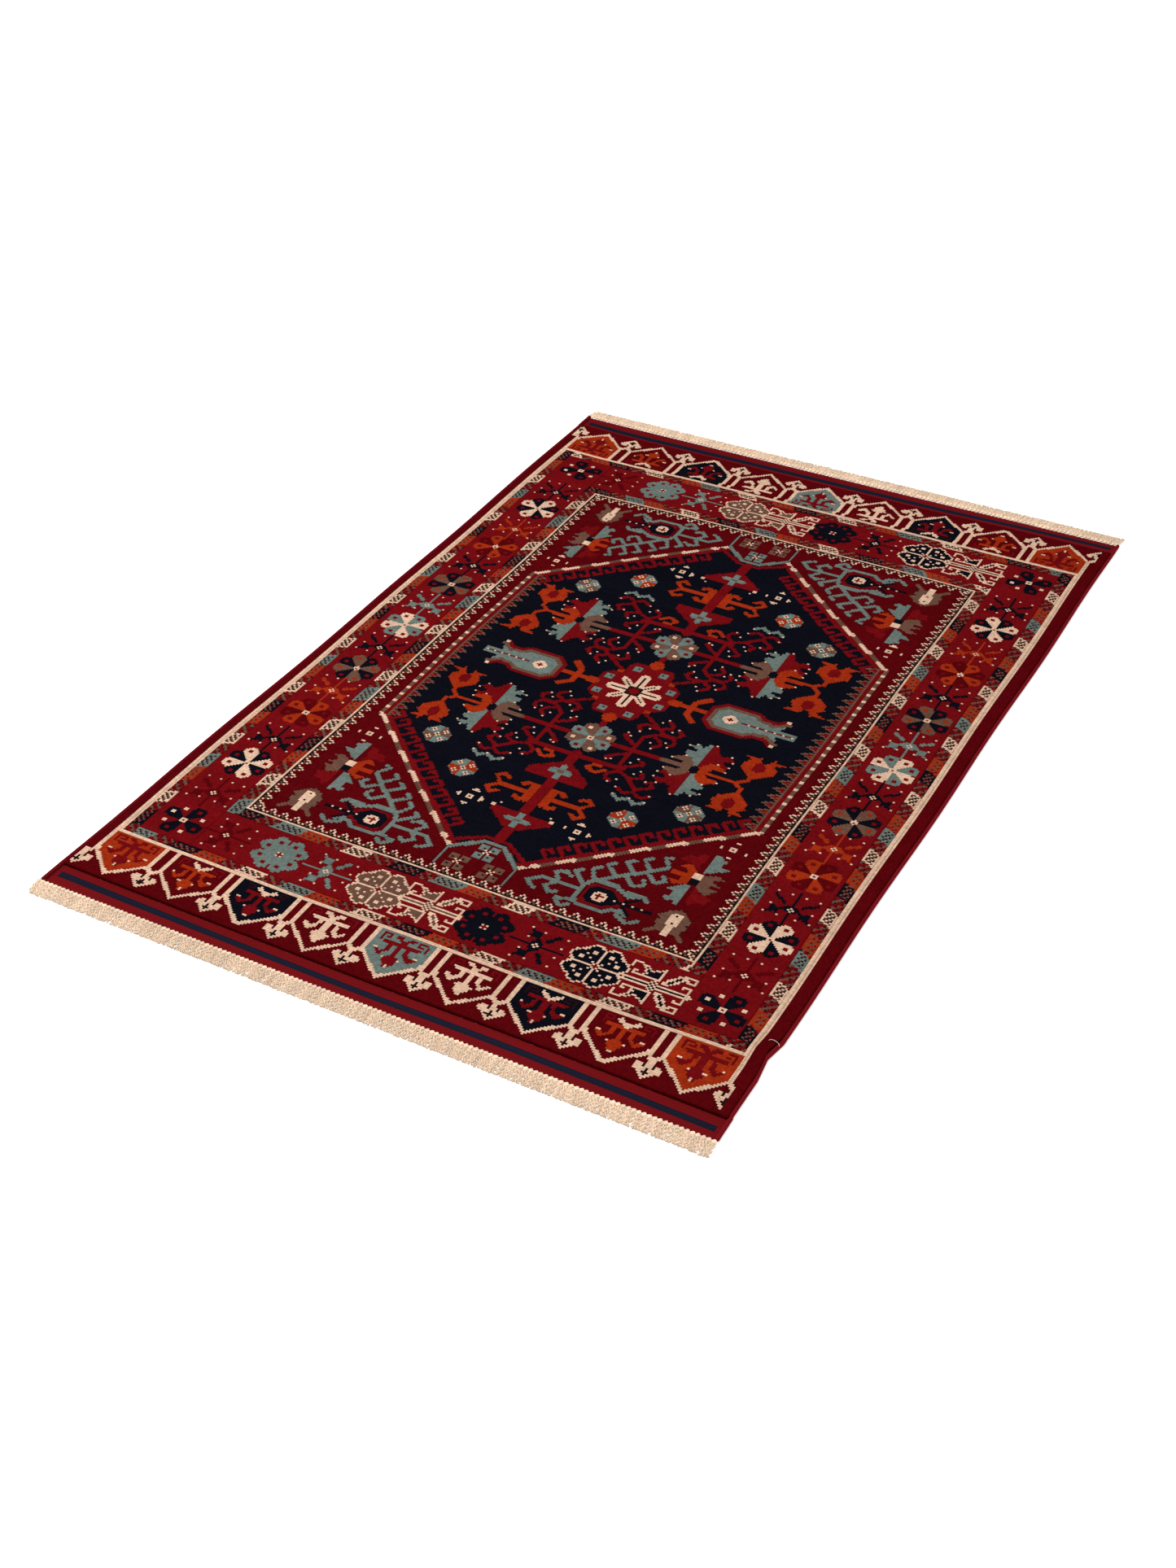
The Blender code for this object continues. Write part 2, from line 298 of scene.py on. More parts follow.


# ---------------------------------------------------------------- pile yarns
# Eight dyed yarns tie every knot. The reds are madder, the blues indigo, the browns walnut.
# The eye takes them as solid patches with a soft grain, lighter where tufts lean to the light.
# Heights between which the pile wool is painted darker in the hollows and lighter at the tips, as painted
# shade.
PILE_DEPTH = (0.0074, 0.0090)
PILE_DYES = (
    ("deep_red", "#52060b"), ("crimson", "#6a0c11"), ("navy", "#0d0d16"), ("teal", "#64716b"),
    ("burnt_orange", "#962b10"), ("ivory", "#d6b298"), ("camel", "#654639"), ("walnut_brown", "#241012"),
)
YARNS = [dyed_wool(f"{dye}_pile_wool", code, shade_heights=PILE_DEPTH) for dye, code in PILE_DYES]
DEEP, CRIMSON, NAVY, TEAL, ORANGE, IVORY, CAMEL, WALNUT = range(8)
CHART = np.full((len(ROWS), len(COLUMNS)), DEEP)
CHART_U, CHART_V = np.meshgrid(COLUMNS, ROWS)
# Every knot has its own tint, and no two were clipped to quite the same height.
KNOT_TINT = rng.random(CHART.shape)
CORNER_LIFT = rng.normal(0.0, 0.00012, (len(ROWS) + 1, len(COLUMNS) + 1))
TUFT_LIFT = rng.normal(0.0, 0.00014, CHART.shape)
SHOULDER_LIFT = rng.normal(0.0, 0.00010, (len(ROWS), len(COLUMNS) + 1))
PILE_FOOT = 0.0033
PILE_GROOVE = 0.0079
PILE_TIP = 0.0090
# A groove is deeper and a shoulder lower where two yarns meet.
GROOVE_DROP = 0.0003
SHOULDER_DROP = 0.00035
YARN_SHOULDER_DROP = 0.0007
# Tufts lie a little towards the near end, as they were pulled down after each knot.
TIP_LEAN = 0.0007
SHOULDER_LEAN = 0.0005
# Against the kilim the last row leans over, so the pile ends in a round shoulder.
END_DROP = 0.0026
END_FOOT = 0.0023
HERE = [(0.0, 0.0, 1, 1)]


def tie(yarn, points, width=0.0, places=HERE):
    """Ties one yarn inside an outline, or along a line that is some knots wide, at every place given.

    A place is where the motif's middle sits, then 1 or -1 for as drawn or mirrored, across and along;
    a fifth number turns it a quarter."""
    for place in places:
        drawn = np.array(points, float)
        if len(place) > 4:
            drawn = drawn[:, ::-1]
        drawn = drawn * (place[2], place[3]) + place[:2]
        reach = width / 2.0
        first = np.floor(drawn.min(axis=0) - reach).astype(int) - (COLUMNS[0], ROWS[0])
        last = np.ceil(drawn.max(axis=0) + reach).astype(int) - (COLUMNS[0], ROWS[0]) + 1
        first = np.maximum(first, 0)
        window = (slice(first[1], max(last[1], 0)), slice(first[0], max(last[0], 0)))
        u, v = CHART_U[window], CHART_V[window]
        chosen = np.zeros(u.shape, bool)
        if width == 0.0:
            for (x0, y0), (x1, y1) in zip(drawn, np.roll(drawn, -1, axis=0)):
                if y0 != y1:
                    chosen ^= ((y0 <= v) != (y1 <= v)) & (u < (x1 - x0) * (v - y0) / (y1 - y0) + x0)
        elif len(drawn) == 1:
            side = max(1, round(width))
            left, low = np.ceil(drawn[0] - side / 2.0)
            chosen = (u >= left) & (u < left + side) & (v >= low) & (v < low + side)
        else:
            for start, end in zip(drawn, drawn[1:]):
                run = end - start
                part = ((u - start[0]) * run[0] + (v - start[1]) * run[1]) / max(run @ run, 1e-9)
                part = np.clip(part, 0.0, 1.0)
                off = np.hypot(u - start[0] - part * run[0], v - start[1] - part * run[1])
                chosen |= off < reach
        CHART[window][chosen] = yarn


def pile(name, mask):
    """Ties the knots of one zone: rows of low tufts, each with its own tint, on a closed foot.

    A tuft has four low corners, a middle, and a shoulder on each side where its neighbour in the row
    leans on it, so the grooves between rows are deeper than those inside a row."""
    picked = np.argwhere(mask)
    rows, columns = picked[:, 0], picked[:, 1]
    around = np.zeros(CORNER_LIFT.shape, int)
    for dr, dc in ((0, 0), (0, 1), (1, 0), (1, 1)):
        around[dr:dr + mask.shape[0], dc:dc + mask.shape[1]] += mask
    changes = around < 4
    changes[1:-1, 1:-1] |= (
        (CHART[1:, 1:] != CHART[:-1, 1:]) | (CHART[1:, 1:] != CHART[1:, :-1])
        | (CHART[:-1, :-1] != CHART[:-1, 1:])
    )
    groove = np.where(changes, PILE_GROOVE - GROOVE_DROP, PILE_GROOVE) + CORNER_LIFT
    used = np.argwhere(around > 0)
    number = np.full(CORNER_LIFT.shape, -1)
    number[used[:, 0], used[:, 1]] = np.arange(len(used))
    x, y = lay(used[:, 1] + COLUMNS[0] - 0.5, used[:, 0] + ROWS[0] - 0.5)
    points = [np.stack([x, y, groove[used[:, 0], used[:, 1]]], axis=-1)]
    points[0][np.isin(used[:, 0], (0, mask.shape[0])), 2] -= END_DROP
    a, b = number[rows, columns], number[rows, columns + 1]
    c, d = number[rows + 1, columns + 1], number[rows + 1, columns]

    # Shoulders, one between each pair of neighbours in a row.
    beside = np.zeros((mask.shape[0], mask.shape[1] + 1), bool)
    beside[:, :-1] |= mask
    beside[:, 1:] |= mask
    shared = np.argwhere(beside)
    between = np.full(beside.shape, -1)
    between[shared[:, 0], shared[:, 1]] = len(used) + np.arange(len(shared))
    x, y = lay(shared[:, 1] + COLUMNS[0] - 0.5, shared[:, 0] + float(ROWS[0]))
    both = np.zeros(len(shared), bool)
    inner = (shared[:, 1] > 0) & (shared[:, 1] < mask.shape[1])
    here, there = shared[inner, 1], shared[inner, 1] - 1
    both[inner] = CHART[shared[inner, 0], here] == CHART[shared[inner, 0], there]
    lift = SHOULDER_LIFT[shared[:, 0], shared[:, 1]]
    height = np.where(both, PILE_TIP - SHOULDER_DROP, PILE_TIP - YARN_SHOULDER_DROP) + lift
    points.append(np.stack([x, y - SHOULDER_LEAN, height], axis=-1))
    left, right = between[rows, columns], between[rows, columns + 1]

    x, y = lay(columns + float(COLUMNS[0]), rows + float(ROWS[0]))
    lift = TUFT_LIFT[rows, columns]
    points.append(np.stack([x, y - TIP_LEAN + lift * 2.0, PILE_TIP + lift], axis=-1))
    m = len(used) + len(shared) + np.arange(len(picked))
    corners_of = ((a, b, m), (b, right, m), (right, c, m), (c, d, m), (d, left, m), (left, a, m))
    faces = np.concatenate([np.stack(three, axis=-1) for three in corners_of]).tolist()
    yarns = [np.tile(CHART[rows, columns], 6)]
    tints = [np.tile(KNOT_TINT[rows, columns], 6)]
    smooth = [np.ones(6 * len(picked))]

    # Walls down to the foot wherever the zone stops, then one flat foot under it all.
    total = sum(len(group) for group in points)
    foot_of = np.full(len(used), -1)
    edge_corners = np.flatnonzero((around < 4)[used[:, 0], used[:, 1]])
    foot_of[edge_corners] = total + np.arange(len(edge_corners))
    foot = points[0][edge_corners].copy()
    at_end = np.isin(used[edge_corners, 0], (0, mask.shape[0]))
    foot[:, 2] = np.where(at_end, END_FOOT, PILE_FOOT)
    points.append(foot)
    padded = np.pad(mask, 1)
    after = {}
    sides = (
        ((-1, 0), a, b, None), ((0, 1), b, c, right), ((1, 0), c, d, None), ((0, -1), d, a, left),
    )
    for (dr, dc), start, end, shoulder in sides:
        is_open = ~padded[rows + 1 + dr, columns + 1 + dc]
        for index in np.flatnonzero(is_open).tolist():
            s, e = int(start[index]), int(end[index])
            wall = [e, s, int(foot_of[s]), int(foot_of[e])]
            if shoulder is not None:
                wall.insert(1, int(shoulder[index]))
            faces.append(wall)
            after[s] = e
        yarns.append(CHART[rows, columns][is_open])
        tints.append(KNOT_TINT[rows, columns][is_open])
        smooth.append(np.zeros(is_open.sum()))
    first = next(iter(after))
    loop = [first]
    while after[loop[-1]] != first:
        loop.append(after[loop[-1]])
    assert len(loop) == len(after), name
    faces.append([int(foot_of[corner]) for corner in loop[::-1]])
    yarns.append([CHART[rows[0], columns[0]]])
    tints.append([0.5])
    smooth.append([0.0])
    thing = surface(
        name + "_pile", np.concatenate(points).tolist(), faces, YARNS,
        np.concatenate(yarns), np.concatenate(tints), np.concatenate(smooth),
    )
    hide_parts(name)


# ---------------------------------------------------------------- niche bands at the two ends
# Nine niches side by side, each an ivory-edged house with its point outwards and a small plant in it.
# Between two niches a red pillar ends in an ivory trefoil. The far end is the near one turned over.
SPREAD_U, SPREAD_V = abs(CHART_U), abs(CHART_V)


def tie_pair(yarn, points, width=0.0, places=HERE):
    """Ties a yarn on the right side of a motif and, mirrored, on its left side."""
    for side in (-1, 1):
        tie(yarn, [(across * side, along) for across, along in points], width, places)


def niche(places, ground, motif, top, corner_hooks):
    """One niche with its plant; knots are counted from the niche's middle column and the rug's middle."""
    tie(IVORY, [(-14.6, 202), (-14.6, 216.4), (0, 229.4), (14.6, 216.4), (14.6, 202)], 0.0, places)
    tie(ground, [(-12.6, 202), (-12.6, 215.9), (0, 227.1), (12.6, 215.9), (12.6, 202)], 0.0, places)
    tie(motif, [(-8.7, 207.4), (8.7, 207.4), (7.6, 209.7), (-7.6, 209.7)], 0.0, places)
    tie(motif, [(0, 209), (0, 216)], 2.2, places)
    bud = [(-2.2, 215.4), (2.2, 215.4), (3.4, 218.4), (0.8, 222.2), (-0.8, 222.2), (-3.4, 218.4)]
    tie(motif, bud, 0.0, places)
    tie_pair(motif, [(3.9, 209.6), (4.2, 213.0), (6.6, 215.6), (8.6, 213.8)], 1.9, places)
    tie_pair(IVORY, [(8.5, 212.9), (9.3, 212.9)], 1.1, places)
    tie_pair(IVORY, [(3.4, 216.6), (3.4, 217.4)], 1.1, places)
    tie_pair(corner_hooks, [(10, 208), (10, 204.4), (6.4, 204.4), (6.4, 206), (8.2, 206)], 1.0, places)
    tie(IVORY, [(0, 221.6), (0, 222.2)], 1.4, places)
    if top == "butterfly":
        tie_pair(motif, [(3.8, 204.2), (2.4, 204.2), (0, 207.6)], 1.8, places)
    else:
        tie(IVORY, [(-3.8, 204.7), (0, 207.4), (3.8, 204.7)], 1.9, places)


def pillar_foot(places):
    """The ivory trefoil under a pillar, with a brown cross in it; counted from the pillar's middle."""
    tie_pair(IVORY, [(3.2, 215.5), (0.8, 219.2)], 2.0, places)
    tie_pair(IVORY, [(3.0, 223.6), (3.4, 223.6)], 4.8, places)
    tie(IVORY, [(0, 218.6), (0, 225)], 2.6, places)
    tie(IVORY, [(-4.4, 225.2), (4.4, 225.2), (0, 229.6)], 0.0, places)
    tie_pair(WALNUT, [(2.0, 221.8), (2.0, 223.2)], 1.1, places)
    tie_pair(DEEP, [(5.0, 220.8)], 1.0, places)
    tie(WALNUT, [(0, 224.4), (0, 227.2)], 1.2, places)
    tie(WALNUT, [(-1.2, 225.8), (1.2, 225.8)], 1.1, places)


NICHES = [
    (ORANGE, CRIMSON, "butterfly", CRIMSON), (DEEP, ORANGE, "chevron", CRIMSON),
    (NAVY, CRIMSON, "chevron", WALNUT), (DEEP, IVORY, "butterfly", CRIMSON),
    (TEAL, CRIMSON, "butterfly", CRIMSON), (DEEP, IVORY, "butterfly", CRIMSON),
    (NAVY, CRIMSON, "chevron", WALNUT), (DEEP, ORANGE, "chevron", CRIMSON),
    (ORANGE, CRIMSON, "butterfly", CRIMSON),
]
for number, (ground, motif, top, hooks) in enumerate(NICHES):
    middle = 32.6 * (number - 4) + 0.7
    niche([(middle, 0, 1, -1), (middle, 0, 1, 1)], ground, motif, top, hooks)
for number in range(10):
    middle = 32.6 * (number - 4.5) + 0.7
    pillar_foot([(middle, 0, 1, -1), (middle, 0, 1, 1)])
# The last trefoil at each side is cut in half where the plain ground begins.
CHART[(CHART_U < -147) | (CHART_U > 147)] = DEEP
patterned = (CHART_U > -145) & (CHART_U < 145)
pile("niche_band_near", patterned & (CHART_V <= -203))
pile("niche_band_far", patterned & (CHART_V >= 203))


# ---------------------------------------------------------------- plain ground down the two sides
# Deep red knots between the side cord and the patterned part, wider on the right as it was woven.
# Almost no pattern: the eye sees rows of tufts, faint bands of uneven dye, and half a trefoil at each end.
CHART[(CHART_U == 145) & (SPREAD_V <= 202)] = IVORY
pile("ground_left", CHART_U <= -145)
pile("ground_right", CHART_U >= 145)


# ---------------------------------------------------------------- ivory frame
# One line of ivory wool, two knots wide, right round the borders. The palest line on the rug.
# Its knots are tied like the rest, but the eye sees it as a raised cord.

# A band's edges are the last knots it takes on its outer side, across and along, then on its inner side.
IVORY_FRAME = (144, 202, 143, 201)
OUTER_GUARD = (142, 200, 137, 196)
MAIN_BORDER = (136, 195, 111, 168)
INNER_GUARD = (110, 167, 105, 162)
TOOTHED_STRIPE = (104, 161, 99, 156)


def all_round(edges):
    """The knots of one band, right round the rug."""
    out_u, out_v, in_u, in_v = edges
    return (SPREAD_U <= out_u) & (SPREAD_V <= out_v) & ((SPREAD_U >= in_u) | (SPREAD_V >= in_v))


def band(name, edges):
    """Ties the four strips of one band: the two long sides whole, the two ends between them."""
    in_u, in_v = edges[2:]
    whole = all_round(edges)
    for hand, way in (("left", -1), ("right", 1)):
        pile(f"{name}_{hand}", whole & (CHART_U * way >= in_u))
    for end, way in (("near", -1), ("far", 1)):
        pile(f"{name}_{end}", whole & (SPREAD_U < in_u) & (CHART_V * way >= in_v))


CHART[all_round(IVORY_FRAME)] = IVORY
band("ivory_frame", IVORY_FRAME)


# ---------------------------------------------------------------- outer guard stripe
# Slanted blocks in turn navy or teal, orange, ivory, with dotted insides, parted by red and brown.
# Six knots wide down the sides and five across the ends; the order drifts a little from end to end.
DOTTED_WITH = {
    NAVY: (CAMEL, CRIMSON), TEAL: (WALNUT, CAMEL), ORANGE: (CAMEL, CRIMSON), IVORY: (WALNUT, CAMEL),
}


def guard(zone, along, step, depth, blocks):
    """Draws slanted hatched blocks along one strip; step counts knots from the strip's outer edge."""
    lean = along - 0.55 * step
    CHART[zone] = CRIMSON
    CHART[zone & ((along + step) % 5 < 2)] = CAMEL
    CHART[zone & ((along - 2 * step) % 6 == 0)] = WALNUT
    CHART[zone & ((along + step) % 5 == 0) & ((along - step) % 7 == 3)] = ORANGE
    for start, length, yarn in blocks:
        block = zone & (lean >= start) & (lean < start + length)
        CHART[block] = yarn
        heart = block & (lean >= start + 1.0) & (lean < start + length - 1.0)
        heart &= (step >= 1) & (step <= depth - 2)
        first, second = DOTTED_WITH[yarn]
        CHART[heart & ((along + step) % 3 == 0)] = first
        CHART[heart & ((along + step) % 3 == 1) & ((step % 2 == 1) | (yarn == IVORY))] = second


def guard_all_round(edges, near, far, left, right):
    """Draws one guard stripe: its two ends between the sides, then its two sides whole."""
    out_u, out_v, in_u, in_v = edges
    whole = all_round(edges)
    inside = whole & (SPREAD_U < in_u)
    guard(inside & (CHART_V <= -in_v), CHART_U, CHART_V + out_v, out_v - in_v + 1, near)
    guard(inside & (CHART_V >= in_v), CHART_U, out_v - CHART_V, out_v - in_v + 1, far)
    guard(whole & (CHART_U <= -in_u), CHART_V, CHART_U + out_u, out_u - in_u + 1, left)
    guard(whole & (CHART_U >= in_u), CHART_V, out_u - CHART_U, out_u - in_u + 1, right)


def in_turn(starts, length, yarns):
    """Blocks at the given starts, taking the yarns in turn."""
    return [(start, length, yarns[number % len(yarns)]) for number, start in enumerate(starts)]


outer_left = in_turn((-196, -147, -98, -54, -6, 41, 88, 134, 186), 11, (NAVY, TEAL))
outer_left += in_turn((-158, -109, -64, -17, 30, 77, 124, 174), 11, (ORANGE,))
outer_left += in_turn((-177, -127, -79, -35, 11, 58, 107, 155), 9, (IVORY,))
outer_right = in_turn((-197, -146, -98, -54, -6, 41, 89, 138, 188), 9, (NAVY, TEAL))
outer_right += in_turn((-187, -135, -88, -44, 4, 51, 99, 148), 10, (ORANGE,))
outer_right += in_turn((-167, -116, -71, -24, 23, 71, 119, 168), 9, (IVORY,))
outer_near = in_turn((-142, -119, -63, -8, 47, 102), 13, (TEAL, NAVY)) + [(135, 9, IVORY)]
outer_near += in_turn((-106, -50, 5, 60, 115), 12, (ORANGE,)) + in_turn((-84, -28, 27, 82), 11, (IVORY,))
outer_far = in_turn((-142, -93, -38, 18, 74), 10, (IVORY,)) + [(130, 13, TEAL)]
outer_far += in_turn((-115, -61, -6, 51, 108), 12, (NAVY, TEAL))
outer_far += in_turn((-126, -71, -18, 39, 96), 11, (ORANGE,))
guard_all_round(OUTER_GUARD, outer_near, outer_far, outer_left, outer_right)
# Down the left side the frame takes one more column, from this stripe.
CHART[(CHART_U == -142) & (SPREAD_V <= 200)] = IVORY
band("outer_guard", OUTER_GUARD)


# ---------------------------------------------------------------- main border
# Crimson, 26 knots wide: round flowers with eight drop petals, and between them small plants on stems.
# Petals take turns in two yarns and carry dots of a third; flowers are joined by the plants' stems.
def petal(yarn, angle, length, width, places):
    """One drop-shaped petal from a flower's middle: thin at its root and round at its tip."""
    shape = [(0.05, 0.12), (0.35, 0.5), (0.62, 0.95), (0.8, 1.0), (0.93, 0.74), (1.0, 0.3)]
    c, s = math.cos(math.radians(angle)), math.sin(math.radians(angle))
    outline = []
    for side, points in ((1, shape), (-1, shape[::-1])):
        for part, half in points:
            x, y = length * part, side * half * width / 2.0
            outline.append((x * c - y * s, x * s + y * c))
    tie(yarn, outline, 0.0, places)


def flower(even, odd, even_dot, odd_dot, places):
    """Eight petals in two yarns with a dot near each tip, and a small ivory star in the middle.

    Petals given no yarn are left out and only their dots are tied."""
    for number in range(8):
        angle = 22.5 + 45.0 * number
        yarn = (even, odd)[number % 2]
        if yarn is not None:
            petal(yarn, angle, 11.3, 6.9, places)
        tip = (8.2 * math.cos(math.radians(angle)), 8.2 * math.sin(math.radians(angle)))
        tie((even_dot, odd_dot)[number % 2], [tip], 2.0, places)
    tie(IVORY, [(-0.1, 0), (0.1, 0)], 3.4, places)
    tie(CRIMSON, [(0, 0)], 1.0, places)


CROSS = ((0, 1), (1, 0), (0, -1), (-1, 0))


def plant(yarn, places):
    """A stem with a square bud, two toothed leaves behind it, two bars ahead of it and ivory dots."""
    tie(yarn, [(0, -11), (0, 11.5)], 1.9, places)
    tie(yarn, [(-1.2, 0), (1.2, 0)], 4.6, places)
    leaf = [(3.6, 0.4), (5.2, -0.8), (8.6, -0.2), (9.2, 0.6), (8.2, -3), (9.8, -5.4), (8.6, -6)]
    leaf += [(6.4, -4), (4.6, -5.4), (4.2, -2.6)]
    tie_pair(yarn, leaf, 0.0, places)
    tie_pair(yarn, [(9.0, 6.8), (4.0, 3.2)], 1.8, places)
    for spot in ((9.2, 0.2), (9.8, -5.8), (4.4, -5.4), (8.6, 9.6), (2.9, 9.6)):
        tie_pair(IVORY, [spot], 1.3, places)
    for spot in CROSS:
        tie(IVORY, [spot], 1.0, places)


def edged_plant(yarn, places):
    """The same plant with every part edged in ivory, its leaves and bars ending in square hooks."""
    tie(IVORY, [(0, -11), (0, 14.4)], 3.2, places)
    tie(IVORY, [(0, -3.9), (3.9, 0), (0, 3.9), (-3.9, 0)], 0.0, places)
    leaf_edge = [(3.2, 1.4), (11.4, 1.4), (9.2, -2.2), (8.6, -3.8), (11.0, -7.0), (11.0, -9.4)]
    leaf_edge += [(7.6, -6.6), (6.0, -5.6), (6.0, -6.6), (3.2, -6.6)]
    tie_pair(IVORY, leaf_edge, 0.0, places)
    leaf = [(4.3, 0.3), (9.6, 0.3), (8.0, -2.4), (7.4, -3.9), (10.0, -7.2), (7.4, -5.4)]
    leaf += [(5.4, -4.2), (5.2, -5.6), (4.3, -5.6)]
    tie_pair(yarn, leaf, 0.0, places)
    tie_pair(IVORY, [(10.6, -8.6), (10.6, -12), (8.4, -12)], 1.1, places)
    tie_pair(IVORY, [(3.6, -6.4), (3.6, -10), (5.6, -10), (5.6, -8.6)], 1.1, places)
    tie_pair(IVORY, [(3.8, 4.4), (9.4, 8.6)], 3.3, places)
    tie_pair(yarn, [(4.4, 4.9), (8.8, 8.1)], 1.2, places)
    tie_pair(IVORY, [(11.0, 9.4), (11.0, 13.8), (7.6, 13.8), (7.6, 11), (9.2, 11)], 1.1, places)
    tie_pair(IVORY, [(0, 14.4), (5, 14.4), (5, 11.4), (3.4, 11.4)], 1.1, places)
    tie(yarn, [(0, -11), (0, 13)], 1.0, places)
    tie(yarn, [(0, -2.9), (2.9, 0), (0, 2.9), (-2.9, 0)], 0.0, places)
    for spot in CROSS:
        tie(IVORY, [spot], 1.0, places)


def round_flower(yarn, rim, places):
    """A close round flower with eight dotted lobes; with a rim it is edged and crossed in ivory too."""
    lobes = [(3.9, 7.6), (7.6, 3.6), (7.6, -3.6), (3.9, -7.6)]
    lobes += [(-x, y) for x, y in lobes]
    for grow, colour in ((2.0, rim), (0.0, yarn)):
        if colour is not None:
            tie(colour, [(-0.2, 0), (0.2, 0)], 15.0 + grow, places)
            for x, y in lobes:
                tie(colour, [(x, y), (x + 0.1, y)], 7.2 + grow, places)
    if rim is not None:
        tie(rim, [(0, -10.4), (0, 10.4)], 1.0, places)
        tie(rim, [(-10.4, 0), (10.4, 0)], 1.0, places)
        for step in (2, 4, 6):
            for spot in ((step, step), (-step, step), (step, -step), (-step, -step)):
                tie(rim, [spot], 1.0, places)
    for x, y in lobes:
        tie(CRIMSON if rim is None else rim, [(x, y)], 2.0, places)
    tie(IVORY, [(-0.1, 0), (0.1, 0)], 3.8, places)
    tie(CRIMSON, [(-1, 0), (1, 0)], 1.0, places)
    tie(CRIMSON, [(0, -1), (0, 1)], 1.0, places)


CHART[all_round(MAIN_BORDER)] = CRIMSON
SIDE_FLOWERS = [
    (-133.5, IVORY, NAVY, CRIMSON, CRIMSON), (-88, DEEP, ORANGE, CRIMSON, CRIMSON),
    (-45.5, CAMEL, NAVY, ORANGE, CRIMSON), (-2, IVORY, TEAL, CRIMSON, CRIMSON),
    (42, CAMEL, NAVY, ORANGE, CRIMSON), (85.5, DEEP, ORANGE, CRIMSON, CRIMSON),
    (131.5, IVORY, NAVY, CRIMSON, CRIMSON),
]
SIDE_PLANTS = (NAVY, ORANGE, NAVY, TEAL, NAVY, ORANGE, NAVY)
for (height, even, odd, even_dot, odd_dot), leaf in zip(SIDE_FLOWERS, SIDE_PLANTS):
    sides = [(-123.0, height + 21, 1, 1), (124.0, height + 21, -1, 1)]
    plant(leaf, sides)
    way = 1 if height < 0 else -1
    flower(even, odd, even_dot, odd_dot, [(-123.0, height, 1, way), (124.0, height, -1, way)])
plant(DEEP, [(-123.0, -159, 1, 1), (124.0, -159, -1, 1)])
END_ROW = 182
for way in (-1, 1):
    end_row = [
        (plant, (DEEP,), -101), (round_flower, (TEAL, None), -74), (plant, (TEAL,), -51),
        (round_flower, (CAMEL, IVORY), -26), (edged_plant, (CAMEL,), -3),
        (round_flower, (NAVY, None), 23), (plant, (NAVY,), 46),
        (round_flower, (NAVY, IVORY), 72), (edged_plant, (NAVY,), 96),
    ]
    for draw, yarns, across in end_row:
        draw(*yarns, [(across, END_ROW * way, 1, -way, "turned")])
    corners = [(-123, END_ROW * way, 1, way), (125, END_ROW * way, 1, way)]
    flower(NAVY, None, CRIMSON, IVORY, corners)
    tie(IVORY, [(-7.6, -3.1)], 2.0, corners)
band("main_border", MAIN_BORDER)


# ---------------------------------------------------------------- inner guard stripe
# The same slanted blocks as outside the border, six knots wide all round.
# An ivory line of one knot follows it on the field side.
inner_left = in_turn((-169, -115, -69, -24, 24, 70, 117, 160), 12, (TEAL, NAVY))
inner_left += in_turn((-125, -80, -33, 11, 58, 105), 9, (ORANGE,))
inner_left += in_turn((-145, -96, -50, -4, 41, 89, 139), 9, (IVORY,))
inner_right = in_turn((-163, -116, -69, -22, 25, 72, 120), 10, (NAVY, TEAL)) + [(161, 8, IVORY)]
inner_right += in_turn((-125, -78, -32, 15, 62, 110), 9, (ORANGE,))
inner_right += in_turn((-143, -95, -49, -1, 45, 93, 141), 9, (IVORY,))
inner_near = in_turn((-110, -31, 44), 13, (NAVY,)) + in_turn((-88, -11, 66), 13, (TEAL,))
inner_near += in_turn((-75, 2, 79), 11, (ORANGE,)) + in_turn((-53, 23, 101), 10, (IVORY,))
inner_far = in_turn((-110, -34, 43), 12, (NAVY,)) + in_turn((-89, -13, 66), 11, (TEAL,))
inner_far += in_turn((-77, -1, 77), 11, (ORANGE,)) + in_turn((-55, 22, 102), 10, (IVORY,))
guard_all_round(INNER_GUARD, inner_near, inner_far, inner_left, inner_right)
band("inner_guard", INNER_GUARD)


# ---------------------------------------------------------------- toothed stripe
# Small dark teeth, six knots apart, that bite into the field from a one-knot ivory line.
# Every tooth is edged with single ivory knots, so that the stripe glitters from afar.
def teeth(zone, along, step):
    """Draws teeth along one strip; step counts knots from the ivory line."""
    phase = along % 6
    reach = np.choose(phase, (1, 2, 4, 5, 4, 2))
    CHART[zone & (step <= reach)] = WALNUT
    CHART[zone & (step == 2) & (phase == 3)] = CAMEL
    CHART[zone & (step == reach) & (phase != 0)] = IVORY
    CHART[zone & (step == 3) & (phase == 2)] = CAMEL
    CHART[zone & (step == 3) & (phase == 4)] = IVORY
    CHART[zone & (step == 1) & (phase == 0)] = CAMEL


strip = all_round(TOOTHED_STRIPE)
teeth(strip & (SPREAD_V >= 156), CHART_U + 600, 161 - SPREAD_V)
teeth(strip & (SPREAD_U >= 99), CHART_V + 603, 104 - SPREAD_U)
CHART[strip & ((SPREAD_U == 104) | (SPREAD_V == 161))] = IVORY
band("toothed_stripe", TOOTHED_STRIPE)


# ---------------------------------------------------------------- field ground and its lines
# A deep red field with a long navy hexagon in it; the hexagon's slanting sides are a barber's-pole
# line of ivory and brown, with a crimson line and a comb of hooks inside it. Still one knotted cloth.
def four(u=0.0, v=0.0):
    """A place and its three mirror images across and along the rug."""
    return [(u * a, v * b, a, b) for a in (1, -1) for b in (1, -1)]


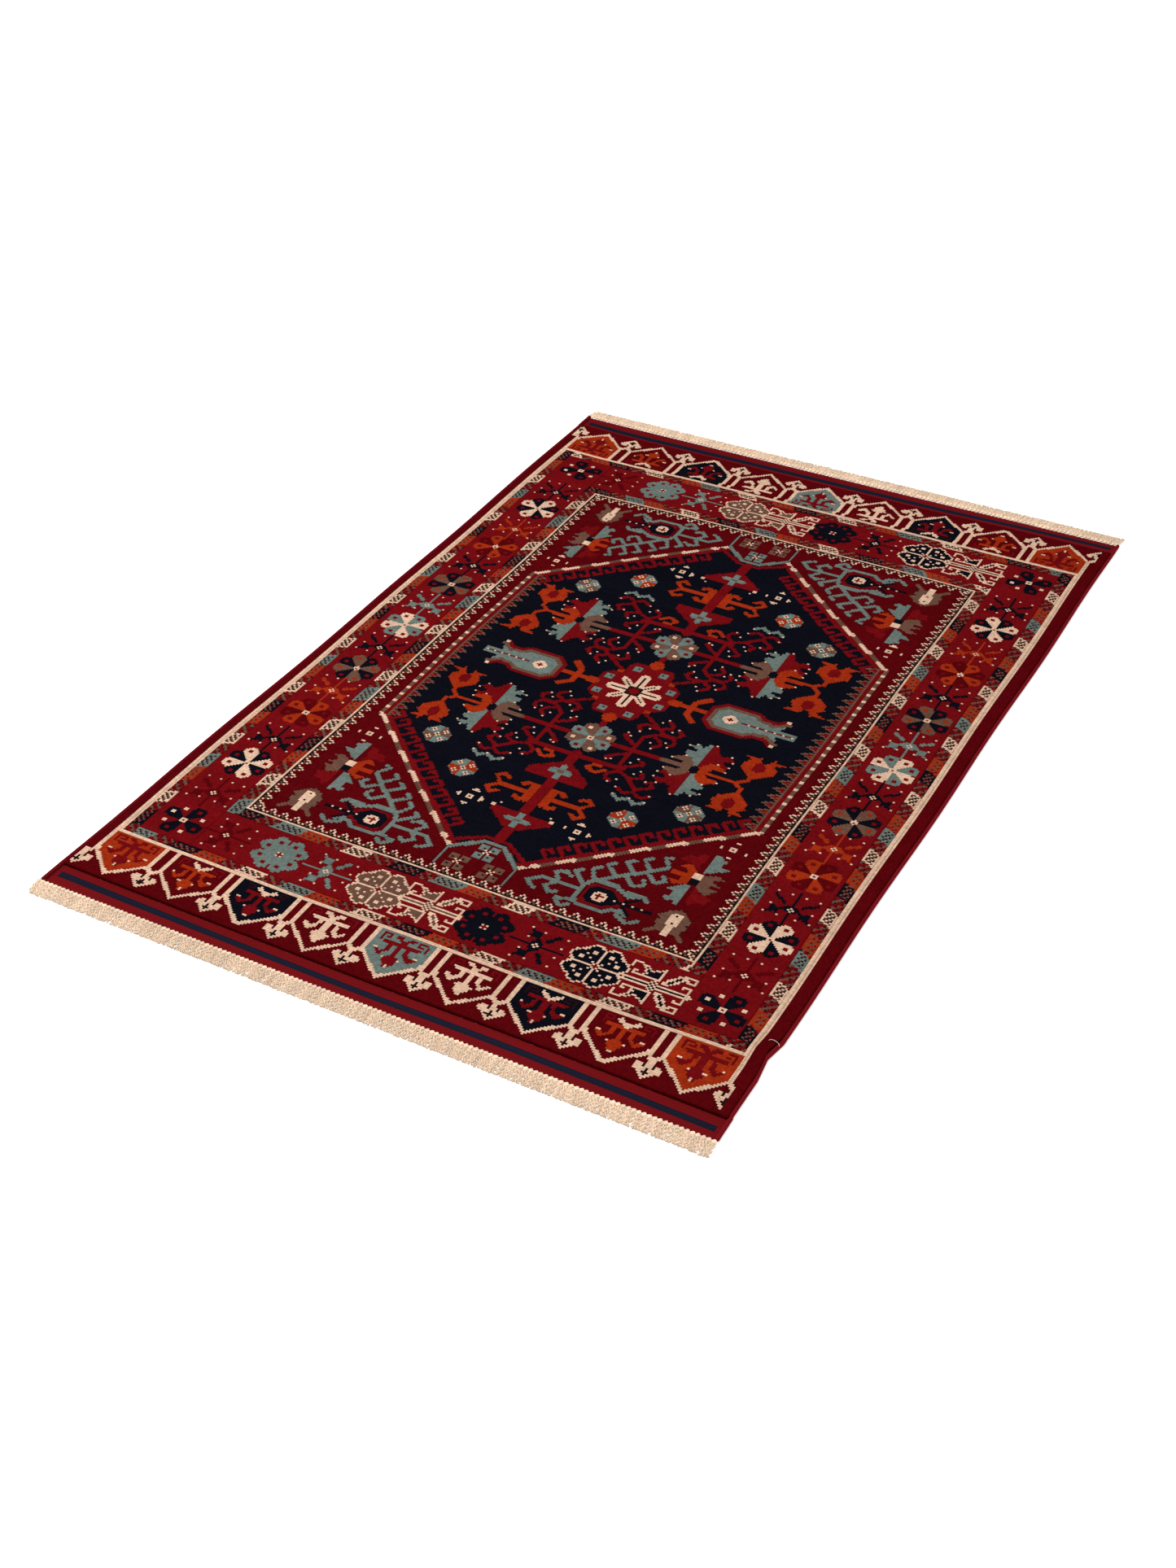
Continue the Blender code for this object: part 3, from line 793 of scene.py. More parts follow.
slope = 94.3 - (SPREAD_V - 71.5) * 1.1075
cup_half = np.where(SPREAD_V > 142, 16.5, 7.6 + (SPREAD_V - 132) * 0.84)
in_field = (SPREAD_U <= 98) & (SPREAD_V <= 155)
cup = in_field & (SPREAD_V >= 132) & (SPREAD_U < cup_half)
hexagon_end = in_field & (SPREAD_V > 71) & (SPREAD_U < slope) & ~cup
hexagon_middle = (SPREAD_U <= 94) & (SPREAD_V <= 71)
CHART[hexagon_end | hexagon_middle] = NAVY

SHOULDER = np.array((93.6, 71.0))
FOOT = np.array((15.6, 142.4))
DOWN = (FOOT - SHOULDER) / np.hypot(*(FOOT - SHOULDER))
INWARD = np.array((-DOWN[1], DOWN[0]))
SLANT = float(np.hypot(*(FOOT - SHOULDER)))
tie(CRIMSON, [SHOULDER + INWARD * 2.3, FOOT + INWARD * 2.3], 2.6, four())
tie(CAMEL, [SHOULDER, FOOT], 2.2, four())
for start in np.arange(0.0, SLANT - 4.0, 16.0):
    stop = min(start + 8.4, SLANT)
    tie(IVORY, [SHOULDER + DOWN * (start + 1.0), SHOULDER + DOWN * stop], 2.2, four())
for root in np.arange(6.5, SLANT - 7.0, 7.15):
    foot = SHOULDER + DOWN * root
    path = [foot + INWARD * 3.0, foot + INWARD * 9.6]
    path += [foot + INWARD * 9.6 - DOWN * 4.0, foot + INWARD * 7.3 - DOWN * 4.0]
    tie(CRIMSON, path, 2.0, four())

# Down the straight sides: a dashed ivory line, a crimson one, and a row of camel teeth against the navy.
side_rows = SPREAD_V <= 71
CHART[side_rows & (SPREAD_U >= 91) & (SPREAD_U <= 98)] = DEEP
CHART[side_rows & (SPREAD_U >= 91) & (SPREAD_U <= 92)] = CRIMSON
CHART[side_rows & (SPREAD_U >= 93) & (SPREAD_U <= 94)] = CAMEL
CHART[side_rows & (SPREAD_U >= 93) & (SPREAD_U <= 94) & (CHART_V % 6 < 2)] = IVORY
saw = np.choose(CHART_V % 6, (1, 2, 4, 6, 5, 3))
inward = 90 - SPREAD_U
tooth = side_rows & (inward >= 0) & (inward < saw)
CHART[tooth] = CAMEL
CHART[tooth & (inward >= 1) & (inward < saw - 2)] = CRIMSON
CHART[tooth & (inward == 1) & (CHART_V % 12 == 3)] = ORANGE


# ---------------------------------------------------------------- field corners
# Deep red corners cut off by the hexagon. Each has a four-leaved pink, an ivory diamond,
# a camel bud on a stalk and a navy bud in a ring of teal hooks. Mirrored to all four corners.
def ivory_diamond(middle, heart, places):
    """A small ivory square with a knot of another yarn in it, and four arrowheads pointing outwards."""
    tie(IVORY, [middle], 3.4, places)
    tie(heart, [middle], 1.2, places)
    for away in ((0, -4.6), (0, 4.6), (4.6, 0), (-4.6, 0)):
        foot = np.add(middle, away)
        wide = (2.0, 0.0) if away[0] == 0 else (0.0, 2.0)
        tie(IVORY, [foot - wide, foot + wide, foot + np.multiply(0.45, away)], 0.0, places)


corners = four()
PINK_PARTS = (
    (TEAL, [
        (82.7, 132.6), (81, 132.4), (80.3, 130.1), (78.2, 131.2), (77, 131.6), (75.2, 129.1), (78, 128.2),
        (77.6, 125), (73.9, 124.6), (80.8, 118), (83, 118),
    ]),
    (TEAL, [
        (83.2, 108), (84.6, 108.2), (92.6, 102), (88.6, 101), (88.8, 99), (90.4, 97.4), (87.5, 96.4),
        (86.4, 95), (85.5, 94), (84, 94.4), (83, 101.6),
    ]),
    (ORANGE, [
        (72.4, 117.4), (75.2, 121), (78, 119.2), (81.7, 117.4), (81.2, 109.2), (78.9, 106.6),
        (76.8, 104.6), (73.2, 107.8), (77, 109), (77.4, 111), (71.5, 111.2), (71.5, 114.6), (77, 114.8),
        (77, 117.2),
    ]),
    (CAMEL, [
        (85, 118), (87, 120.8), (90, 121.2), (94.6, 116), (90, 116.2), (90, 114.6), (95, 114.4),
        (90, 112.6), (90, 110.6), (94, 108.6), (90, 107.6), (86.4, 108.8), (85, 110),
    ]),
    (CRIMSON, [
        (84.6, 118.4), (84.8, 129.6), (86.6, 131.6), (88.4, 127.6), (92, 127.2), (93.6, 122.6),
        (90, 121.4), (87, 121),
    ]),
    (CRIMSON, [
        (82, 108), (80.6, 104.6), (82, 97), (79, 96), (77, 99.6), (73.4, 99), (71.6, 104), (76, 104.4),
        (78.9, 106.4),
    ]),
)
for yarn, outline in PINK_PARTS:
    tie(yarn, outline, 0.0, corners)
tie(NAVY, [(83, 115.6)], 4.0, corners)
tie(IVORY, [(83, 111.2)], 4.0, corners)
ivory_diamond((88.5, 88.4), CRIMSON, corners)
bud = [(86, 134.6), (90, 137.2), (93, 141), (92.8, 146.4), (90.4, 150), (81.8, 150), (79.2, 146.4)]
bud += [(79, 141), (81.6, 137.2)]
tie(CAMEL, bud, 0.0, corners)
for side in (-1, 1):
    tie(CAMEL, [(86 + 4 * side, 149.4), (86 + 8 * side, 152.6)], 2.0, corners)
    for along in (139, 143, 147):
        tie(WALNUT, [(86 + 5.6 * side, along)], 1.0, corners)
core = [(84.6, 137), (87.6, 137), (88.9, 139.4), (88.9, 144.4), (87.6, 146.6), (84.6, 146.6), (83.2, 144.4)]
core += [(83.2, 139.4)]
tie(IVORY, core, 0.0, corners)
tie(IVORY, [(86, 146), (86, 151.6)], 2.2, corners)
for along in (139.4, 143.6):
    tie(WALNUT, [(86, along)], 1.4, corners)

ring = [(67.8, 148.6), (64.8, 146.8), (61.4, 148), (57.6, 150.8), (47.8, 150.8), (44.6, 147.2)]
ring += [(44.4, 137.4), (47.6, 133), (56.8, 133), (61, 135.6), (64.4, 137), (67.6, 135.2)]
tie(TEAL, ring, 2.2, corners)
tie(CRIMSON, [(47, 135), (57, 135), (63.4, 139.4), (63.4, 144.8), (57, 149), (47, 149)], 0.0, corners)
heart = [(47.4, 139.4), (49.8, 136.8), (57, 136.8), (61.4, 140.6), (61.4, 144), (57, 147.6)]
heart += [(49.8, 147.6), (47.4, 145)]
tie(NAVY, heart, 0.0, corners)
tie(NAVY, [(61, 142.4), (75, 142.4)], 2.8, corners)
for side in (-1, 1):
    tie(NAVY, [(64, 142.4 + 1.4 * side), (68.6, 142.4 + 5.4 * side)], 1.7, corners)
for across in (60.5, 64.5, 68.5, 72.5):
    tie(IVORY, [(across, 142.4)], 1.2, corners)
tie(IVORY, [(53.3, 142.4), (53.5, 142.4)], 6.6, corners)
tie(CRIMSON, [(52, 142.4), (55, 142.4)], 1.0, corners)
tie(CRIMSON, [(53.4, 141), (53.4, 144)], 1.0, corners)

# Teal hooks round the ring: one stem towards the cup, one up the slope, and short ones between.
VINE = [
    [(43.5, 141.6), (28, 141.2), (22.6, 146), (27.4, 149.6)],
    [(34.6, 141.4), (30.6, 146), (34, 149.4), (37, 147.4)],
    [(34.6, 141.2), (30.8, 136), (34.6, 133.4), (37.2, 135.6)],
    [(43.8, 137.4), (37, 131.6), (39.8, 129.6)],
    [(44.6, 149.2), (38.2, 150.8), (42.4, 155), (44.4, 152.4)],
    [(46.6, 133.6), (54, 127), (63, 119), (70, 112)],
    [(46.4, 133), (43, 126.8), (45.8, 124.6)],
    [(53.6, 127.4), (47, 121.6), (49.8, 119.4)],
    [(59.4, 122), (53.4, 116), (56.2, 114)],
    [(64.6, 117.4), (59, 111.4), (61.6, 109.6)],
    [(70, 112), (66.4, 106.6), (69, 105)],
    [(57, 125), (62, 130), (66, 127.4), (64.4, 124.6)],
    [(63.6, 119.4), (69, 123.6), (72.4, 121), (70.4, 118.4)],
    [(62, 134.4), (70, 134.4), (72, 137)],
    [(64, 149.4), (70, 152.4), (74, 149.4)],
]
for path in VINE:
    tie(TEAL, path, 2.0, corners)
for end, way in (("near", -1), ("far", 1)):
    for hand, side in (("left", -1), ("right", 1)):
        zone = in_field & (SPREAD_V > 71) & ~hexagon_end & ~cup
        zone &= (CHART_V * way > 0) & (CHART_U * side > 0)
        pile(f"field_corner_{end}_{hand}", zone)
for hand, side in (("left", -1), ("right", 1)):
    zone = in_field & (SPREAD_V <= 71) & (CHART_U * side >= 95)
    pile(f"field_edge_{hand}", zone)


# ---------------------------------------------------------------- cups at the hexagon's two ends
# A deep red cup with a teal rim and a crimson line outside it, open towards the border.
# Inside it three small square flowers, one teal and two brown, each of four dotted petals.
ends = [(0.0, 0.0, 1, 1), (0.0, 0.0, 1, -1)]
CHART[cup] = DEEP
tie_pair(CRIMSON, [(19.4, 139.4), (5.4, 129.6), (0, 129.6)], 2.3, ends)
tie_pair(TEAL, [(16.8, 154.4), (16.8, 143.6), (4.4, 132.4), (0, 132.4)], 2.4, ends)


def square_flower(yarn, places):
    """Four square petals with dark dots round an ivory cross."""
    for across in (-2.6, 2.6):
        for along in (-2.6, 2.6):
            tie(yarn, [(across, along)], 4.2, places)
            tie(WALNUT, [(across * 0.9, along * 0.9)], 1.0, places)
            tie(DEEP, [(across * 1.9, along * 0.4)], 1.0, places)
    for spot in ((-1, -1), (1, -1), (-1, 1), (1, 1), (0, 0)):
        tie(IVORY, [spot], 1.0, places)


square_flower(TEAL, [(0, 139.4, 1, 1), (0, -139.4, 1, 1)])
square_flower(CAMEL, [(8.2, 150.4, 1, 1), (-8.2, 150.4, 1, 1), (8.2, -150.4, 1, 1), (-8.2, -150.4, 1, 1)])
pile("field_cup_near", cup & (CHART_V < 0))
pile("field_cup_far", cup & (CHART_V > 0))


# ---------------------------------------------------------------- hexagon: stem, arrowheads, discs
# Navy ground. Up the middle runs a crimson stem with an arrowhead at each end of a pair of orange
# ram's horns; beside it stand quartered discs, ivory diamonds and short teal waves.
tie(CRIMSON, [(0, 129.6), (0, 56)], 4.4, ends)
upper_head = [(-14.4, 107.4), (14.4, 107.4), (14.4, 110.8), (2.4, 120.4), (-2.4, 120.4), (-14.4, 110.8)]
lower_head = [(-14.4, 79.2), (14.4, 79.2), (14.4, 74.6), (3, 65.4), (-3, 65.4), (-14.4, 74.6)]
tie(CRIMSON, upper_head, 0.0, ends)
tie(CRIMSON, lower_head, 0.0, ends)
for along in (113, 72.6):
    tie(TEAL, [(-4.4, along), (4.4, along)], 3.2, ends)
    tie(TEAL, [(0, along - 4.2), (0, along + 4.2)], 3.2, ends)
    tie(CAMEL, [(-1, along), (1, along)], 1.6, ends)
tie_pair(IVORY, [(14, 107.6)], 2.0, ends)
tie_pair(IVORY, [(11.6, 104.8)], 1.4, ends)
tie_pair(ORANGE, [(4.2, 87.4), (4.2, 98)], 4.2, ends)
tie_pair(ORANGE, [(4, 86.8), (7.4, 86.4), (9.8, 88.2)], 2.6, ends)
tie_pair(ORANGE, [(4, 98.2), (7.4, 99), (9.4, 98)], 2.6, ends)
tie_pair(ORANGE, [(5, 92.8), (19.6, 92.8)], 2.6, ends)
horn = [(19.6, 0.8), (23.4, 4.8), (20.4, 7.4), (17.6, 5.2)]
for way in (-1, 1):
    tie_pair(ORANGE, [(across, 92.8 + along * way) for across, along in horn], 2.1, ends)
tie_pair(ORANGE, [(16.6, 62.6), (12.8, 66), (8.4, 63.6), (10.8, 60.2), (13.4, 60.2)], 2.0, ends)
discs = four(39, 91) + four(62, 74)
for number, place in enumerate(discs):
    second = ORANGE if number < 4 else CAMEL
    tie(TEAL, [(-0.1, 0), (0.1, 0)], 12.6, [place])
    for quarter in (1, -1):
        for along in range(0, 7):
            half = math.sqrt(39.7 - along ** 2) - 0.6
            if half > 1.0:
                tie(second, [(quarter, along * quarter), (half * quarter, along * quarter)], 1.0, [place])
    for across, along in ((-3, -3), (3, -3), (-3, 3), (3, 3), (0, 0)):
        for spot in CROSS:
            tie(IVORY, [(across + spot[0], along + spot[1])], 1.0, [place])
        tie(WALNUT if across == 0 else CRIMSON, [(across, along)], 1.0, [place])
ivory_diamond((25.6, 107.8), WALNUT, corners)
tie(TEAL, [(27.4, 76.4), (30.8, 79), (34.6, 76.4), (38.2, 79), (41.8, 76.4)], 2.1, corners)
for across in (27.2, 34.6, 42):
    tie(IVORY, [(across, 75.8)], 1.4, corners)


# ---------------------------------------------------------------- hexagon: medallion and branches
# In the middle a crimson eight-lobed medallion with an ivory star; above and below it a small flower
# in a crimson frame, and hooked crimson branches with ivory-tipped ends in each quarter.
lobed = [(11.4, 12), (11.4, 19.4), (8.6, 22.8), (0, 22.8), (0, 0), (19.8, 0), (19.8, 7.6), (16.6, 11.2)]
tie(CRIMSON, lobed, 0.0, corners)
tie(CRIMSON, [(0, -22), (0, 22)], 2.4)
tie(CRIMSON, [(-19, 0), (19, 0)], 2.4)
for way in (-1, 1):
    tie(CRIMSON, [(0, 27 * way), (0, 32 * way)], 2.2)
    tie(ORANGE, [(0, 23.4 * way), (0, 25 * way)], 6.2)
    tie(IVORY, [(0, 4 * way), (0, 12.6 * way)], 4.8)
tie_pair(CRIMSON, [(36, 0), (41, 0)], 3.0)
tie_pair(ORANGE, [(22, 0), (35, 0)], 3.0)
tie_pair(ORANGE, [(20.6, 0), (21.8, 0)], 5.6)
tie_pair(ORANGE, [(33.6, 9.6), (29.6, 5.6), (28.2, 0), (29.4, -5.6), (33.8, -10)], 3.1)
tie_pair(IVORY, [(4, 0), (11.4, 0)], 4.4)
tie(ORANGE, [(12.8, 13.4)], 3.4, corners)
tie(IVORY, [(2.6, 2.6), (8.2, 8.0)], 3.1, corners)
tie(WALNUT, [(1, 1), (7.6, 7.4)], 1.0, corners)
tie(WALNUT, [(-11, 0), (11, 0)], 1.0)
tie(WALNUT, [(0, -12.4), (0, 12.4)], 1.0)
tie(WALNUT, [(-0.1, 0), (0.1, 0)], 7.4)
tie(CRIMSON, [(-0.1, 0), (0.1, 0)], 5.0)
for across, along in ((6.2, 18), (15.4, 6.8)):
    tie(TEAL, [(across, along)], 4.0, corners)
    tie(WALNUT, [(across, along)], 1.4, corners)
tie(CRIMSON, [(20.4, 32.6), (20.4, 58)], 2.6, corners)
tie(CRIMSON, [(0, 57.9), (23, 57.9)], 2.8, corners)
tie(CRIMSON, [(9, 42.7), (35, 42.7)], 2.8, corners)
tie(CAMEL, [(35, 42.9), (48, 42.9)], 2.6, corners)
flower(CAMEL, TEAL, IVORY, CRIMSON, [(0, 42.7, 1, 1), (0, -42.7, 1, 1)])
BRANCHES = [
    [(13.6, 14.6), (18, 18), (24, 22.4), (27, 25)],
    [(20.4, 33), (21, 30.6), (24.6, 27.6), (28, 25.6)],
    [(24, 28.4), (28.6, 31.2), (29.6, 34.6), (27.2, 37.2)],
    [(27, 26.4), (33, 27), (35, 30.2), (33.4, 32.6)],
    [(27, 25.4), (33.6, 25), (35.2, 22), (32.8, 19.8)],
    [(23.6, 22.4), (28.6, 19.6), (28.4, 17), (25.8, 15)],
    [(23.6, 22.6), (17.4, 21.4), (14.8, 24), (16.6, 26.6)],
    [(19.6, 39), (14.4, 35.4), (12.4, 33.6), (13.4, 32.4)],
    [(19.6, 46.4), (14.4, 50.2), (12.2, 52.4), (13.6, 54)],
    [(21.6, 57.4), (26.4, 53.4), (29.8, 51), (27.6, 49)],
    [(21.6, 59.6), (28.6, 63), (33.4, 60.4), (32.6, 57.6)],
    [(27.6, 62.4), (34.2, 69.6)],
    [(34.2, 69.6), (40.6, 64.6), (38.4, 61.8), (36, 62.4)],
    [(22, 60.4), (18.2, 63.8), (19.4, 67.4), (21.8, 68.4)],
    [(26.6, 71), (30.8, 74), (34.4, 71.4), (38.4, 74), (42.2, 71)],
]
for path in BRANCHES:
    tie(CRIMSON, path, 2.0, corners)
TIPS = (
    (24.6, 34.4), (26.8, 38.2), (31, 30.8), (32.8, 33.8), (32.4, 18.8), (30.4, 21.8), (25, 14.2),
    (23, 17), (20, 24.4), (17.2, 27.7), (13.4, 31.4), (15.4, 33.4), (14.6, 52.6), (13, 54.4),
    (26.4, 48.4), (24.4, 51.6), (31, 55.8), (28.8, 58.8), (35.8, 61.8), (23.6, 66), (20.6, 69),
    (26.4, 70.6), (42.4, 70.6),
)
for spot in TIPS:
    tie(IVORY, [spot], 1.3, corners)


# ---------------------------------------------------------------- hexagon: vases, pinks and tulips
# At each side of the medallion lies a teal vase with brown and crimson lines round it; in each
# quarter a pink of six fans in five yarns, with two orange tulips on one stem behind it.
def pink(places):
    """Four leaves and two fans round a navy middle. Drawn with the rug's middle to the right."""
    leaf = [(0, 3), (0, 21), (1.6, 21.4), (3.2, 16.6), (5.6, 18.6), (9.6, 16), (5, 14.8), (5, 13.2)]
    leaf += [(9.8, 12.3), (7, 8), (2.5, 3.4)]
    back = [(0, 3), (0, 21), (-2.8, 21.4), (-4, 16.8), (-7, 15), (-10.6, 16.6), (-13.2, 13), (-9, 12)]
    back += [(-9, 9.8), (-13, 8.6), (-11, 5.2), (-4, 3)]
    for way in (1, -1):
        tie(TEAL, [(x * way, y * way) for x, y in leaf], 0.0, places)
        tie(CRIMSON, [(x * way, y * way) for x, y in back], 0.0, places)
    for way, yarn in ((1, CAMEL), (-1, ORANGE)):
        fan = [(1.4, -3), (1.4, 3), (4.4, 7.4), (7.8, 8.6), (12, 5.2), (12.2, 3.6), (7.4, 3.4)]
        fan += [(6, 1.4), (15, 1.4)]
        fan += [(x, -y) for x, y in fan[::-1][:-2]]
        tie(yarn, [(x * way, y) for x, y in fan], 0.0, places)
        for spot in ((7.6, 8.4), (12.2, 4.6), (12.2, -4.6), (7.6, -8.4)):
            tie(IVORY, [(spot[0] * way, spot[1])], 1.3, places)
    for way in (1, -1):
        for spot in ((-1.6, 21.2), (6.4, 18.6), (9.4, 16), (-10.6, 16.2), (-13, 12.8), (-13, 8.8)):
            tie(IVORY, [(spot[0] * way, spot[1] * way)], 1.3, places)
    tie(NAVY, [(0, 0)], 4.2, places)


def tulip(places):
    """An orange tulip with a crimson heart, opening upwards from the root of its stem."""
    bloom = [(0, -7.6), (-7.2, -1.4), (-7.8, 3), (-5.2, 6), (-10, 8.8), (-4.4, 8.8), (-4, 11), (-1.6, 6.4)]
    bloom += [(0.8, 6.2), (1.6, 10), (3.2, 8.8), (8.6, 8.8), (5.6, 6.4), (7.8, 3), (7, -1.4)]
    tie(ORANGE, bloom, 0.0, places)
    tie(CRIMSON, [(0, -2.4), (-2.6, 0), (-2.4, 4), (0, 6.4), (2.4, 4), (2.6, 0)], 0.0, places)


pinks = [(u, v, su, 1) for u, su in ((-50.5, 1), (50.5, -1)) for v in (43.4, -43.4)]
pink(pinks)
for u, v, su, _ in pinks:
    stem = [(-13, 0), (-18.5, 0), (-22.6, 3), (-23, 6)]
    tie(ORANGE, stem, 2.1, [(u, v, su, 1), (u, v, su, -1)])
    tulip([(u - 23.4 * su, v + 13, su, 1), (u - 22.8 * su, v - 13.6, su, -1)])
VASE_PARTS = (
    (CRIMSON, 2.4, [(37.2, 0), (37.2, 5.2), (43, 10.6), (57.5, 10.6), (62, 7.2), (66.5, 7), (71.4, 10.8)]),
    (CAMEL, 2.2, [(39.4, 0), (39.4, 4.4), (44, 8.5), (56.8, 8.5), (61.6, 5.2), (67, 4.8), (72.2, 8.6)]),
    (TEAL, 0.0, [
        (40.6, -0.6), (40.6, 4), (44.4, 7.6), (56.4, 7.6), (61, 4.4), (67, 3.8), (72, 7), (70, 2.7),
        (78.8, 2.7), (78.8, -0.6),
    ]),
)
for place in ((0.0, -1.0, -1, 1), (0.0, 0.0, 1, 1)):
    for yarn, width, points in VASE_PARTS:
        for way in (-1, 1):
            tie(yarn, [(across, along * way) for across, along in points], width, [place])
    tie(IVORY, [(47.8, 0), (48.2, 0)], 6.8, [place])
    tie(CRIMSON, [(47, 0), (49, 0)], 1.0, [place])
    tie(CRIMSON, [(48, -1), (48, 1)], 1.0, [place])
    for across in np.arange(54.0, 77.0, 4.0):
        tie(CRIMSON, [(across, 0), (across + 1.6, 0)], 1.0, [place])
        tie(IVORY, [(across + 3, 0)], 1.0, [place])
    for way in (-1, 1):
        tie(IVORY, [(71.6, 10.6 * way)], 2.0, [place])
pile("hexagon_middle", hexagon_middle)
pile("hexagon_near", hexagon_end & (CHART_V < 0))
pile("hexagon_far", hexagon_end & (CHART_V > 0))


# ---------------------------------------------------------------- flat-woven ends
# Past the pile the wefts are beaten down over the warps into a flat brick-red cloth with a navy
# stripe. Each weft shows as a row of small ovals, staggered from row to row like bricks.
# Both kilim yarns are painted darker where the wefts dip low and lighter on their crowns, as painted shade.
brick_red_wool = dyed_wool("brick_red_kilim_weft", "#6f1317", 0.18, shade_heights=(0.0018, 0.0028))
navy_weft_wool = dyed_wool("navy_kilim_weft", "#1b1d2c", 0.18, shade_heights=(0.0018, 0.0028))
PICK = 0.0014
KILIM_ACROSS = np.arange(-149.0, 152.01, 0.25)
KILIM_FOOT = 0.0002
# A weft's height between warps, what it gains in its own middle, and what it gains over a warp.
WEFT_HEIGHT = 0.0021
WEFT_ROUND = 0.0003
WEFT_FLOAT = 0.0005
WEFT_UNEVEN = 0.0001
# The navy wefts turn back before they reach the side cords, so red closes the stripe's ends.
STRIPE_ENDS = (-146.2, 149.6)


def flat_weave(name, start, stop, way, yarns):
    """One band of kilim between two distances from the rug's middle, in metres, at one end.

    The first yarn makes the band; a second one, if given, closes its two ends beside the cords."""
    picks = round((stop - start) / PICK)
    steps = np.linspace(start, stop, picks * 3 + 1)
    u, reach = np.meshgrid(KILIM_ACROSS, steps)
    x, y = lay(u, way * reach / KNOT_ALONG)
    part = (reach - start) / (stop - start) * picks
    number = np.floor(np.clip(part, 0, picks - 0.001))
    over = 0.5 + 0.5 * np.cos(np.pi * (u + number))
    crown = np.sin(np.pi * np.clip(part - number, 0.0, 1.0))
    height = WEFT_HEIGHT + WEFT_FLOAT * over * crown + WEFT_ROUND * crown
    height += WEFT_UNEVEN * np.sin(u * 2.1 + number * 1.7)
    top = np.stack([x, y, height], axis=-1).reshape(-1, 3)
    under = top * (1.0, 1.0, 0.0) + (0.0, 0.0, KILIM_FOOT)
    rows, columns = u.shape
    index = np.arange(rows * columns).reshape(rows, columns)
    quads = (rows - 1) * (columns - 1)
    # The underside is one row of long faces; only the top needs every weft.
    edge = np.stack([index[0, :-1], index[0, 1:], index[-1, 1:], index[-1, :-1]], axis=-1)
    keep = np.concatenate([index[0, :], index[-1, :]])
    lower = {int(old): rows * columns + place for place, old in enumerate(keep)}
    points = np.concatenate([top, under[keep]]).tolist()
    made = np.stack([index[:-1, :-1], index[:-1, 1:], index[1:, 1:], index[1:, :-1]], axis=-1)
    made = made.reshape(-1, 4).tolist()
    made += [[lower[int(i)] for i in face[::-1]] for face in edge]
    for line, flip in ((index[0, :], False), (index[-1, :], True)):
        for a, b in zip(line[:-1].tolist(), line[1:].tolist()):
            wall = [b, a, lower[a], lower[b]]
            made.append(wall[::-1] if flip else wall)
    for line, flip in ((index[:, 0], False), (index[:, -1], True)):
        chain = line.tolist()
        wall = chain + [lower[chain[-1]], lower[chain[0]]]
        made.append(wall[::-1] if flip else wall)
    if way < 0:
        made = [face[::-1] for face in made]
    count = len(made)
    yarn_of = np.zeros(count)
    if len(yarns) > 1:
        across = (u[:-1, :-1] + 0.12).ravel()
        yarn_of[:quads] = (across < STRIPE_ENDS[0]) | (across > STRIPE_ENDS[1])
    # Each weft has its own tint, and a little of it changes from float to float.
    weft_tint = rng.random(picks)
    tint = np.full(count, 0.5)
    tint[:quads] = np.clip(
        0.75 * weft_tint[number[:-1, :-1].astype(int)].ravel() + 0.25 * rng.random(quads), 0.0, 1.0
    )
    smooth = np.zeros(count)
    smooth[:quads] = 1.0
    thing = surface(name + "_weave", points, made, yarns, yarn_of, tint, smooth)
    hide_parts(name)
    return thing


WOVEN_HALF = 0.9125
KILIM_BANDS = (
    ("inner_red", 0.8713, 0.8880, [brick_red_wool], "kilim_brick_red"),
    ("navy_stripe", 0.8881, 0.8991, [navy_weft_wool, brick_red_wool], "kilim_navy"),
    ("outer_red", 0.8992, WOVEN_HALF, [brick_red_wool], "kilim_brick_red"),
)
for end, way in (("near", -1), ("far", 1)):
    for part, start, stop, yarns, slot_name in KILIM_BANDS:
        flat_weave(f"kilim_{end}_{part}", start, stop, way, yarns)


# ---------------------------------------------------------------- side cords
# The outermost warps, bundled and wrapped round and round with red wool, turn by turn.
# They hold the cloth's sides; the eye sees a thin red cord with close slanting ridges.
cord_wool = dyed_wool("wrapped_red_side_cord_wool", "#6e1219")


def tube(path, radii, sides, squash=1.0):
    """Points and faces of a closed tube along a path lying roughly flat, with a radius at each step."""
    path = np.asarray(path, float)
    run = np.gradient(path, axis=0)
    run /= np.linalg.norm(run, axis=1)[:, None] + 1e-12
    level = np.cross(run, (0.0, 0.0, 1.0))
    level /= np.linalg.norm(level, axis=1)[:, None] + 1e-12
    up = np.cross(level, run)
    angles = np.arange(sides) * 2 * np.pi / sides
    radii = np.broadcast_to(np.asarray(radii, float), (len(path), sides))
    points = path[:, None, :] + level[:, None, :] * (np.cos(angles) * radii)[..., None]
    points = points + up[:, None, :] * (np.sin(angles) * radii * squash)[..., None]
    index = np.arange(len(path) * sides).reshape(len(path), sides)
    after = np.roll(index, -1, axis=1)
    quads = np.stack([index[:-1], after[:-1], after[1:], index[1:]], axis=-1).reshape(-1, 4)
    faces = quads[:, ::-1].tolist() + [index[0].tolist(), index[-1][::-1].tolist()]
    return points.reshape(-1, 3), faces


def bundle(name, tubes, material, node_name=None):
    """Puts many tubes into one piece."""
    points, faces, tints, base = [], [], [], 0
    for spots, sides in tubes:
        points.append(spots)
        faces += [[corner + base for corner in face] for face in sides]
        tints.append(np.full(len(sides), rng.random()))
        base += len(spots)
    thing = surface(
        name, np.concatenate(points).tolist(), faces, [material], np.zeros(len(faces)),
        np.concatenate(tints), np.ones(len(faces)),
    )
    if node_name is not None:
        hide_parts(node_name)
    return thing


